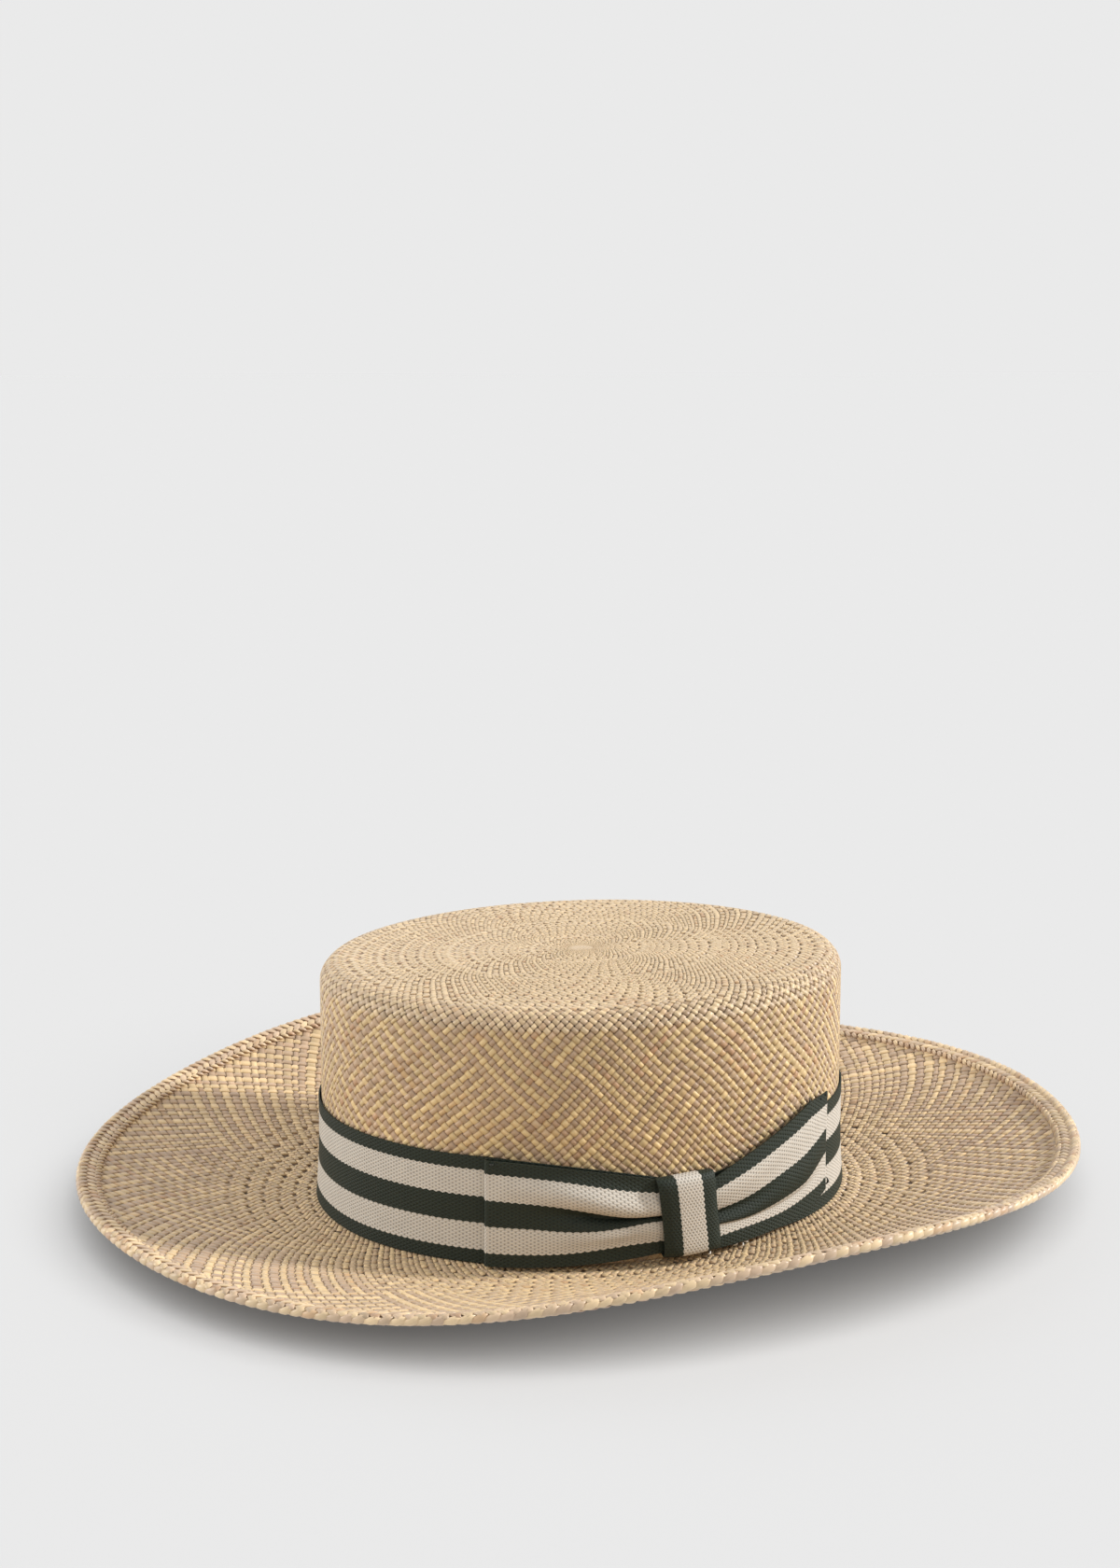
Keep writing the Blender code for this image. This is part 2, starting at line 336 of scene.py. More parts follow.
@dataclass(frozen=True)
class StrawFinish:
    """Split straw: two strand colours, fibres along each strand, and painted shade at strand edges, strand
    ends, cell corners and openings.
    """

    name: str
    cream: Colour
    taupe: Colour
    brown: Colour
    roughness: float = 0.42
    # groove, dive, hole_dark and the gap tint set painted shade: darker strand sides, strand ends, corners and
    # openings, and browner gaps.
    groove: float = 0.36
    dive: float = 0.12
    fibres: float = 0.30
    gloss: float = 0.55
    bloom: float = 0.16
    fibre_grain: tuple[float, float] = (11.0, 0.9)
    mottle_grain: tuple[float, float] = (1.3, 0.35)
    mottle_light: float = 0.22
    shade_light: float = 0.30
    hole_dark: float = 0.72
    gap_shade_tint: tuple[float, float] = (0.18, 0.36)
    bump_depth: float = 0.25 * MM

    def material(self) -> bpy.types.Material:
        """The material, which reads the strands' tone, shade and brownness and the painted corner shade from
        the faces and the weave's UV map.
        """
        board = Board(self.name)
        across, along = board.uv("weave")
        fine, coarse = self.fibre_grain, self.mottle_grain
        fibre = board.noise(board.vector(across * fine[0], along * fine[1]), 1.0, 3.0)
        mottle = board.noise(board.vector(across * coarse[0], along * coarse[1], 7.0), 1.0, 1.0)
        side = abs(across.fract() - 0.5) * 2.0
        end = abs(along.fract() - 0.5) * 2.0
        # Painted shade in the weave's gaps: along each strand's sides, at its ends where it dives under, and at
        # cell corners and openings.
        groove = side.ramp(0.74, 1.0)
        dive = end.ramp(0.84, 1.0)
        gap_shade = groove + dive * (1.0 - groove)
        hole = side.ramp(0.50, 0.80) * end.ramp(0.50, 0.80) * board.attribute("gap_shade")
        body = board.blend(board.attribute("tone"), self.cream, self.taupe)
        # The brown mix is the straw's own brown strands and, in the openings and under the plait, painted
        # shade.
        body = board.blend(board.attribute("brown_tint"), body, self.brown)
        # Fibre, mottle and the random part of the shade value are the straw's own tone; groove, dive, the
        # corner mask and the openings' shade are painted shade.
        light = (
            1.0
            - 0.5 * self.fibres
            + fibre * self.fibres
            + (mottle - 0.5) * self.mottle_light
            + board.attribute("shade") * self.shade_light
            - groove * self.groove
            - dive * self.dive
        ) * (1.0 - self.hole_dark * hole)
        # Painted shade: the gaps between strands are tinted towards brown.
        green, blue = self.gap_shade_tint
        warm = board.vector(light, light * (1.0 - green * gap_shade), light * (1.0 - blue * gap_shade))
        body = board.blend(1.0, body, warm, "MULTIPLY")
        height = fibre * 0.5 - groove * 0.5
        return board.finish(
            Base_Color=body,
            Roughness=self.roughness + (fibre - 0.5) * 0.25,
            Normal=board.bump(height, self.bump_depth, 0.5),
            Specular_IOR_Level=self.gloss,
            Sheen_Weight=self.bloom,
            Sheen_Roughness=0.5,
        )


@dataclass(frozen=True)
class RibbonFinish:
    """Striped grosgrain: ribs across the ribbon and fine yarns between them, with painted shade in the hollows
    between ribs and between yarns.
    """

    name: str
    dark: Colour
    pale: Colour
    width: float = 39.0 * MM
    rib: float = 2.5 * MM
    yarn: float = 0.68 * MM
    stripes: tuple[float, ...] = (0.125, 0.375, 0.625, 0.875)
    tooth: float = 0.5 * MM
    roughness: float = 0.62
    # Painted shade in the hollows between ribs and in the gaps between yarns.
    rib_hollow_shade: float = 0.85
    yarn_gap_shade: float = 0.30
    wear_light: float = 0.16
    bump_depth: float = 0.30 * MM

    def material(self) -> bpy.types.Material:
        """The material. Its UV map holds the metres along the ribbon and the share across it."""
        board = Board(self.name)
        along, across = board.uv("ribbon")
        yarn = across * (self.width / self.yarn)
        row = yarn.floor() % 2.0
        rib = along / self.rib + row * 0.5
        long_way = abs(rib.fract() - 0.5) * 2.0
        short_way = abs(yarn.fract() - 0.5) * 2.0
        tooth = abs((along / self.rib).fract() - 0.5) * 2.0
        edge = across + (tooth - 0.5) * (self.tooth / self.width)
        pale = None
        for low, high in zip(self.stripes[::2], self.stripes[1::2]):
            band = (edge > low) * (1.0 - (edge > high))
            pale = band if pale is None else pale + band
        colour = board.blend(pale, self.dark, self.pale)
        # Painted shade: the colour is darkened in the rib hollows and between yarns.
        flat_row = 1.0 - short_way * short_way
        hollow = long_way.ramp(0.60, 0.95) * flat_row
        crest = 1.0 - hollow * self.rib_hollow_shade - (1.0 - flat_row) * self.yarn_gap_shade
        wear = board.noise(board.vector(along * 160.0, across * 6.0), 1.0, 2.0)
        light = 0.42 + crest * 0.68 + (wear - 0.5) * self.wear_light
        colour = board.blend(1.0, colour, board.vector(light, light, light), "MULTIPLY")
        return board.finish(
            Base_Color=colour,
            Roughness=self.roughness + (wear - 0.5) * 0.15,
            Normal=board.bump(crest, self.bump_depth, 0.8),
            Specular_IOR_Level=0.3,
        )


@dataclass(frozen=True)
class ThreadFinish:
    """Twisted sewing thread or loose fibre in one colour."""

    name: str
    colour: Colour
    roughness: float = 0.8
    twist: float = 900.0

    def material(self) -> bpy.types.Material:
        """The material, with its twist as fine noise in object space."""
        board = Board(self.name)
        where = board.node("ShaderNodeTexCoord", {}, {}, "Object")
        strand = board.noise(where, self.twist, 2.0)
        light = 0.75 + strand * 0.5
        colour = board.blend(1.0, self.colour, board.vector(light, light, light), "MULTIPLY")
        return board.finish(
            Base_Color=colour, Roughness=self.roughness, Normal=board.bump(strand, 0.2 * MM, 0.6)
        )


@dataclass(frozen=True)
class FloorFinish:
    """A matt pale floor."""

    name: str
    colour: Colour
    glow: float
    roughness: float = 0.95

    def material(self) -> bpy.types.Material:
        """The material, with a trace of grain in its roughness."""
        board = Board(self.name)
        where = board.node("ShaderNodeTexCoord", {}, {}, "Object")
        grain = board.noise(where, 40.0, 2.0)
        return board.finish(
            Base_Color=self.colour,
            Roughness=self.roughness - grain * 0.04,
            Specular_IOR_Level=0.0,
            Emission_Color=(1.0, 1.0, 1.0, 1.0),
            Emission_Strength=self.glow,
        )


# ---------------------------------------------------------------- pieces


def deselect_all() -> None:
    """Leave object mode's selection empty."""
    for item in bpy.context.selected_objects:
        item.select_set(False)
    bpy.context.view_layer.objects.active = None


def enlist(piece: bpy.types.Object, nodes: tuple[str, ...]) -> None:
    """Tie a finished piece to the frame.

    Args:
        piece: The piece.
        nodes: The CAD nodes that it stands for.
    """
    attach(piece, "root")
    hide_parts(*nodes)
    faces = len(piece.data.polygons)
    LOG.info("%s: %d faces, stands for %s", piece.name, faces, ", ".join(nodes))


def lay_mesh(
    name: str, points: Array, quads: Array, numbers: dict[str, Array], uvs: Array, finish: bpy.types.Material
) -> bpy.types.Object:
    """Make a smooth mesh piece from arrays.

    Args:
        name: The piece's name.
        points: Rows of x, y and z.
        quads: Rows of four point numbers.
        numbers: Values for each face, by attribute name.
        uvs: A pair for each corner, in the quads' order.
        finish: The material.

    Returns:
        The piece, at the origin.
    """
    mesh = bpy.data.meshes.new(name)
    mesh.from_pydata(points.tolist(), [], quads.tolist())
    for key, values in numbers.items():
        mesh.attributes.new(key, "FLOAT", "FACE").data.foreach_set("value", values.astype(np.float32))
    layer = mesh.uv_layers.new(name="weave")
    layer.uv.foreach_set("vector", uvs.astype(np.float32).ravel())
    mesh.shade_smooth()
    mesh.materials.append(finish)
    piece = bpy.data.objects.new(name, mesh)
    bpy.context.scene.collection.objects.link(piece)
    return piece


@dataclass(frozen=True)
class Strands:
    """How the strands of one stretch of weave are coloured."""

    run: tuple[int, int] = (6, 15)
    taupe: float = 0.88
    brown_tint: float = 0.09
    spread: float = 0.22
    stretch: int = 7
    calm: float = 0.0

    def draw(self, rng: np.random.Generator, count: int) -> dict[str, Array]:
        """Colour a family of strands, which are cream and taupe in turn with a slip now and then.

        Args:
            rng: The source of chance.
            count: How many strands there are.

        Returns:
            Tone, shade and brown tint for each strand and each of its stretches.
        """
        marks = np.cumsum(rng.integers(*self.run, count))
        turns = np.arange(count)
        tone = (turns + np.searchsorted(marks, turns, side="right")) % 2 * self.taupe
        tone = np.clip(tone + rng.normal(0.0, 0.35 * self.spread, count), 0.0, 1.0)[:, None]
        parts = (count, count // self.stretch + 1)
        shade = rng.normal(0.0, self.spread, count)[:, None] + rng.normal(0.0, 0.5 * self.spread, parts)
        brown_tint = (rng.random(parts) < self.brown_tint) * rng.uniform(0.15, 0.6, parts)
        return {"tone": np.broadcast_to(tone, parts), "shade": shade, "brown_tint": brown_tint}


@dataclass(frozen=True)
class Weave:
    """A ring of plain weave whose strands spiral at 45 degrees.

    Cells are counted along the two families, so cell (i, j) lies where strand i of the first crosses strand j
    of the second, and i - j grows along the way up or out.
    """

    strands: int
    start: float
    end: float
    cuts: tuple[float, ...] = (0.0, 0.15, 0.85)
    lift: float = 0.48 * MM
    sink: float = 0.60 * MM
    seam: float = -0.25
    reach: float = 0.10
    level: float = -0.30 * MM
    side: float = 1.0
    facing: int = 1
    jitter: float = 0.09
    # Painted shade at the corners where four cells meet.
    gap_shade: float = 0.3
    hole: float = 0.0
    hole_shade: float = 2.6
    row_ridge: float = 0.0
    row_every: int = 4
    rows_begin: float = -math.inf
    rows_end: float = math.inf
    rows_fade: float = 0.16
    rows_left: float = 0.25

    def rows(self) -> tuple[int, int]:
        """The first row and the one past the last."""
        return math.floor(self.strands * self.start / math.pi), math.ceil(self.strands * self.end / math.pi)

    def _rowed(self, rise: Array) -> Array:
        """How strongly the rows show at a rise: 1 between their beginning and end, and less outside."""
        inside = np.minimum(rise - self.rows_begin, self.rows_end - rise)
        return np.clip(inside / self.rows_fade, self.rows_left, 1.0)

    def _holes(self, i: Array, k: Array) -> Array:
        """How open each cell is: every other cell of every few rows is an uneven hole."""
        if not self.hole:
            return np.zeros(i.shape)
        chance = np.abs(np.sin(i % self.strands * 12.9898 + k * 78.233) * 437.585) % 1.0
        open_cell = (k % self.row_every == 0) & (i % self.strands % 2 == 0)
        openness = HOLE_LEAST + (1.0 - HOLE_LEAST) * chance
        return open_cell * openness * self._rowed(math.pi * k / self.strands)

    def build(
        self, name: str, place: Place, colours: Strands, finish: bpy.types.Material, seed: int,
        relief: Callable[[Array], Array] | None = None,
    ) -> bpy.types.Object:
        """Lay the cells.

        Args:
            name: The piece's name.
            place: Gives points and normals from shares round and the spiral's rise.
            colours: How strands are coloured.
            finish: The material.
            seed: The seed of everything that varies.
            relief: How strongly cells stand out at a share round, or None for evenly.

        Returns:
            The woven piece.
        """
        rng = np.random.default_rng(seed)
        count, steps = self.strands, len(self.cuts)
        around = count * steps
        first, last = self.rows()
        low = steps * (first - 1)
        i, k, m, n = np.meshgrid(
            np.arange(count), np.arange(first, last), np.arange(steps), np.arange(steps), indexing="ij"
        )
        i, k, m, n = (x.ravel() for x in (i, k, m, n))
        j = i - k
        corner_a = np.stack([m, m, m + 1, m + 1], axis=1)
        corner_b = np.stack([n, n + 1, n + 1, n], axis=1)
        fine_a = i[:, None] * steps + corner_a
        fine_b = j[:, None] * steps + corner_b
        keys = (fine_a % around) + around * (fine_a - fine_b - low)
        used, quads = np.unique(keys, return_inverse=True)
        quads = quads.reshape(keys.shape)
        grid_a = used % around
        grid_b = grid_a - (used // around + low)
        points = self._points(place, grid_a, grid_b, rng, relief)
        over = (i + j) % 2 == 0
        first_family, second_family = colours.draw(rng, count), colours.draw(rng, count)
        numbers = {}
        part_i, part_j = i % count // colours.stretch, j % count // colours.stretch
        for key, first_values in first_family.items():
            second_values = second_family[key]
            numbers[key] = np.where(over, first_values[i % count, part_j], second_values[j % count, part_i])
        cell = rng.normal(0.0, CELL_SHADE, (count, last - first))
        at_corner = ((m == 0) | (m == steps - 1)) & ((n == 0) | (n == steps - 1)) & (steps > 2)
        rowed, holes = self._rowed(math.pi * k / count), self._holes(i, k)
        # Painted shade where four cells meet.
        numbers["gap_shade"] = at_corner * self.gap_shade
        numbers["tone"] = numbers["tone"] * (1.0 - colours.calm * rowed)
        numbers["shade"] = numbers["shade"] * (1.0 - colours.calm * rowed) + cell[i, k - first]
        # Painted shade in the openings: darker and browner than the strands round them.
        numbers["shade"] = numbers["shade"] - self.hole_shade * holes
        numbers["brown_tint"] = np.maximum(numbers["brown_tint"], HOLE_SHADE_BROWN * holes)
        whole = np.append(self.cuts, 1.0)
        along_a = i[:, None] + whole[corner_a]
        along_b = j[:, None] + whole[corner_b]
        uvs = np.where(over[:, None, None], np.stack([along_a, along_b], 2), np.stack([along_b, along_a], 2))
        if self.facing < 0:
            quads, uvs = quads[:, ::-1], uvs[:, ::-1]
        return lay_mesh(name, points, quads, numbers, uvs.reshape(-1, 2), finish)

    def _points(
        self, place: Place, grid_a: Array, grid_b: Array, rng: np.random.Generator,
        relief: Callable[[Array], Array] | None,
    ) -> Array:
        """The lattice's points, lifted where a strand is on top and sunk where four cells meet."""
        steps, count = len(self.cuts), self.strands
        cuts = np.array(self.cuts)
        shift_a, shift_b = rng.normal(0.0, self.jitter, (2, count))
        cell_a, part_a = grid_a // steps, cuts[grid_a % steps]
        cell_b, part_b = grid_b // steps, cuts[grid_b % steps]

        def between(cell: Array, part: Array, shift: Array) -> Array:
            """A place across a strand, between its two uneven edges."""
            edge, following = shift[cell % count], shift[(cell + 1) % count]
            return cell + part + edge * (1.0 - part) + following * part

        over = (cell_a + cell_b) % 2 == 0
        inner_a, inner_b = grid_a % steps > 0, grid_b % steps > 0
        push = np.where(over, self.reach, -self.reach)
        a = between(cell_a, part_a, shift_a) + push * (~inner_a & inner_b)
        b = between(cell_b, part_b, shift_b) - push * (inner_a & ~inner_b)
        share = (a + b) / (2.0 * count)
        rise = math.pi * (a - b) / count
        where, normal = place(share, rise)
        across = np.where(over, part_a, part_b)
        along = np.where(over, part_b, part_a)
        round_over = (1.0 - np.abs(2.0 * across - 1.0) ** 3) ** 0.3 * np.sin(np.pi * along) ** 0.25
        height = np.where(inner_a & inner_b, round_over * self.lift, self.seam * self.lift)
        corner = ~inner_a & ~inner_b
        height = np.where(corner, -self.sink, height)
        height = height - (inner_a & inner_b) * self.hole * self._holes(cell_a, cell_a - cell_b)
        if relief is not None:
            height = height * relief(share)
        row = cell_a + part_a - cell_b - part_b
        height = height - self.row_ridge * self._rowed(rise) * np.cos(math.tau * row / self.row_every)
        return where + normal * (self.level + self.side * height)[:, None]


@dataclass
class Crown:
    """The crown: a woven side and rounded edge, a top that is woven in ever finer rings, and its inside."""

    form: HatForm
    finish: bpy.types.Material
    top_finish: bpy.types.Material
    inside_finish: bpy.types.Material
    strands: int = 168
    start_height: float = 24.0 * MM
    samples: int = 1200
    ring_shares: tuple[float, float, float] = (0.56, 0.27, 0.045)
    ring_strands: tuple[int, int] = (104, 52)
    colours: Strands = Strands()
    top_colours: Strands = Strands(run=(4, 9), taupe=0.92, brown_tint=0.05, calm=0.65)
    wanders: tuple[Wander, ...] = (Wander(0.0030, 4.0, 5.0), Wander(0.0009, 11.0, -9.0))
    table: dict[str, Array] = field(default_factory=dict)

    def __post_init__(self) -> None:
        """Work out the outline from the foot to the middle of the top."""
        form = self.form
        shoulder = form.crown_top - form.crown_edge
        heights = np.linspace(0.0, shoulder, self.samples // 2)
        wall = form.wall_out(heights)
        arc = np.linspace(0.0, math.pi / 2.0, self.samples // 4)[1:]
        edge_out = wall[-1] - form.crown_edge * (1.0 - np.cos(arc))
        edge_height = shoulder + form.crown_edge * np.sin(arc)
        share = np.geomspace(1.0, 0.01, self.samples)[1:]
        flat = form.crown_top + form.crown_rise * (1.0 - share**2)
        out = np.concatenate([wall, edge_out, np.full(len(share), edge_out[-1])])
        height = np.concatenate([heights, edge_height, flat])
        scale = np.concatenate([np.ones(len(wall) + len(arc)), share])
        reach = (form.girth / math.tau + out) * scale
        length = np.hypot(np.diff(reach), np.diff(height))
        middle = (reach[1:] + reach[:-1]) / 2.0
        rise = np.concatenate([[0.0], np.cumsum(length / middle)])
        lean = np.concatenate([np.zeros(len(wall)), arc, np.full(len(share), math.pi / 2.0)])
        self.table = {"rise": rise, "out": out, "height": height, "scale": scale, "lean": lean}

    def rise_at(self, height: float | None = None, share: float | None = None) -> float:
        """The spiral's rise at a height of the wall, or at a share of the top's reach."""
        t = self.table
        if share is not None:
            return float(np.interp(-share, -t["scale"], t["rise"]))
        wall = t["lean"] == 0.0
        return float(np.interp(height, t["height"][wall], t["rise"][wall]))

    def place(self, share: Array, rise: Array) -> tuple[Array, Array]:
        """Points and outward normals of the crown's outer face."""
        t = self.table
        keys = ("out", "height", "scale", "lean")
        out, height, scale, lean = (np.interp(rise, t["rise"], t[key]) for key in keys)
        for wander in self.wanders:
            share = wander.drift(share, rise)
        turns = self.form.turn_at(share, out)
        flat, normal = self.form.oval(turns, out)
        points = np.concatenate([flat * scale[:, None], height[:, None]], axis=1)
        normals = np.concatenate([normal * np.cos(lean)[:, None], np.sin(lean)[:, None]], axis=1)
        return points, normals

    def relief(self, share: Array) -> Array:
        """Cells stand out more on the bow side's rear than at its front."""
        return 1.0 + 0.55 * np.sin(math.tau * (share - 0.12))

    def build(self) -> None:
        """Make the crown's pieces."""
        edge = self.rise_at(height=self.form.crown_top - self.form.crown_edge)
        rings = [self.rise_at(share=s) for s in self.ring_shares]
        low = self.rise_at(height=self.start_height)
        side = Weave(self.strands, low, edge, lift=0.44 * MM, sink=0.35 * MM, gap_shade=0.22)
        past = (side.rows()[1] + 0.01) * math.pi / self.strands
        # The rows' openings and cell corners carry painted shade.
        rows = {"hole": 0.7 * MM, "hole_shade": 1.6, "row_ridge": 0.12 * MM, "row_every": 3, "gap_shade": 0.8}
        top = Weave(self.strands, past, rings[0], rows_begin=past, **rows)
        mid = Weave(self.ring_strands[0], rings[0] - 0.01, rings[1], **rows)
        hub = Weave(self.ring_strands[1], rings[1] - 0.02, rings[2], **rows)
        outer = (
            ("crown_side_weave", side, self.colours, self.finish, SEED),
            ("crown_top_weave", top, replace(self.colours, calm=0.65), self.top_finish, SEED),
            ("crown_mid_weave", mid, self.top_colours, self.top_finish, SEED + 1),
            ("crown_hub_weave", hub, self.top_colours, self.top_finish, SEED + 2),
        )
        for name, weave, colours, finish, seed in outer:
            piece = weave.build(name, self.place, colours, finish, seed, self.relief)
            enlist(piece, ("crown",))
        inside = Weave(
            self.strands, 0.02, self.rise_at(share=0.56), cuts=(0.0, 0.5), lift=0.30 * MM,
            sink=0.2 * MM, level=-1.55 * MM, side=-1.0, facing=-1,
        )
        piece = inside.build("crown_inside_weave", self.place, self.colours, self.inside_finish, SEED + 7)
        enlist(piece, ("crown",))
        ceiling = Weave(
            self.ring_strands[0], self.rise_at(share=0.58), self.rise_at(share=0.05), cuts=(0.0, 0.5),
            lift=0.30 * MM, sink=0.2 * MM, level=-1.75 * MM, side=-1.0, facing=-1,
        )
        piece = ceiling.build("crown_ceiling_weave", self.place, self.colours, self.inside_finish, SEED + 8)
        enlist(piece, ("crown",))
        self._centre("crown_centre", 0.02 * MM, self.top_finish)
        self._centre("crown_inner_centre", -1.70 * MM, self.inside_finish, facing=-1)

    def _centre(self, name: str, level: float, finish: bpy.types.Material, facing: int = 1) -> None:
        """The start of the weave: a small disc of crossed strands in the middle of the top.

        Args:
            name: The piece's name.
            level: Its height above the top's outer face.
            finish: Its material.
            facing: 1 for a disc that faces up and -1 for one that faces down.
        """
        deselect_all()
        form = self.form
        reach = 1.25 * self.ring_shares[2]
        bpy.ops.mesh.primitive_circle_add(
            vertices=48, radius=1.0, fill_type="TRIFAN", location=(0.0, 0.0, 0.0)
        )
        disc = bpy.context.active_object
        disc.name = disc.data.name = name
        bpy.ops.object.mode_set(mode="EDIT")
        bpy.ops.mesh.subdivide(number_cuts=3)
        bpy.ops.object.mode_set(mode="OBJECT")
        uvs = []
        for vertex in disc.data.vertices:
            x, y = vertex.co.x, vertex.co.y
            far = math.hypot(x, y)
            ripple = 0.12 * MM * math.sin(8.0 * far) - 0.25 * MM * far**4
            height = form.crown_top + form.crown_rise + level + facing * ripple
            vertex.co = (x * form.half_width * reach, y * form.half_length * reach, height)
        layer = disc.data.uv_layers[0]
        layer.name = "weave"
        for loop in disc.data.loops:
            x, y, _ = disc.data.vertices[loop.vertex_index].co
            uvs += [(x + y) / (1.5 * MM), (x - y) / (1.5 * MM)]
        layer.uv.foreach_set("vector", uvs)
        count = len(disc.data.polygons)
        # Painted shade at the disc's cell corners, from its corner value.
        for key, value in (("tone", 0.2), ("shade", -0.1), ("brown_tint", 0.0), ("gap_shade", 0.5)):
            disc.data.attributes.new(key, "FLOAT", "FACE").data.foreach_set("value", [value] * count)
        if facing < 0:
            disc.data.flip_normals()
        disc.data.shade_smooth()
        disc.data.materials.append(finish)
        enlist(disc, ("crown",))


@dataclass
class Brim:
    """The brim: one ring of weave on its upper face, with rows of openings near the crown, and one below."""

    form: HatForm
    finish: bpy.types.Material
    under_finish: bpy.types.Material
    inner_out: float = -0.4 * MM
    rows_out: float = 48.0 * MM
    outer_out: float = 83.5 * MM
    strands: int = 226
    turn_in: float = 2.4 * MM
    turn_rise: float = 1.4 * MM
    wander: Wander = Wander(0.0022, 4.0, 7.0)
    colours: Strands = Strands(run=(8, 20), taupe=0.85, brown_tint=0.06, calm=0.45)

    def rise(self, out: float) -> float:
        """The spiral's rise at a distance out."""
        reach = self.form.girth / math.tau
        return math.log((reach + out) / (reach + self.inner_out))

    def place(self, share: Array, rise: Array) -> tuple[Array, Array]:
        """Points and upward normals of the brim's upper face."""
        reach = self.form.girth / math.tau
        out = (reach + self.inner_out) * np.exp(rise) - reach
        share = self.wander.drift(share, rise)
        turns = self.form.turn_at(share, out)
        flat, normal = self.form.oval(turns, out)
        slope = self.form.brim_slope(turns, out)
        height = self.form.brim_height(turns, out)
        points = np.concatenate([flat, height[:, None]], axis=1)
        normals = np.concatenate([-normal * np.sin(slope)[:, None], np.cos(slope)[:, None]], axis=1)
        return points, normals

    def place_under(self, share: Array, rise: Array) -> tuple[Array, Array]:
        """The same for the lower face, which turns up into the crown round the head opening."""
        points, normals = self.place(share, rise)
        reach = self.form.girth / math.tau
        out = (reach + self.inner_out) * np.exp(rise) - reach
        bend = np.clip(1.0 - (out - self.inner_out) / self.turn_in, 0.0, 1.0)
        points[:, 2] += self.turn_rise * bend**2
        return points, normals

    def build(self) -> None:
        """Make the brim's pieces."""
        end = self.rise(self.outer_out)
        # The upper weave's cell corners and openings carry painted shade.
        upper = Weave(
            self.strands, self.rise(0.8 * MM), end, facing=-1, lift=0.55 * MM, sink=0.45 * MM, jitter=0.12,
            gap_shade=0.6, hole=1.0 * MM, row_ridge=0.20 * MM, rows_end=self.rise(self.rows_out), rows_left=0.10,
        )
        lower = Weave(
            self.strands, 0.0, end, cuts=(0.0, 0.5), lift=0.30 * MM, sink=0.2 * MM, level=-1.60 * MM,
            side=-1.0,
        )
        piece = upper.build("brim_weave", self.place, self.colours, self.finish, SEED + 20)
        enlist(piece, ("brim",))
        piece = lower.build("brim_under_weave", self.place_under, self.colours, self.under_finish, SEED + 20)
        enlist(piece, ("brim",))


@dataclass(frozen=True)
class PlaitRow:
    """One row of slanting strand segments along the brim's edge."""

    name: str
    across: float
    slant: float
    pitch: float
    length: float
    width: float
    thickness: float
    lift: float
    phase: float = 0.0
    dip: float = 0.35 * MM
    climb: float = 0.45 * MM
    taupe: float = 0.8


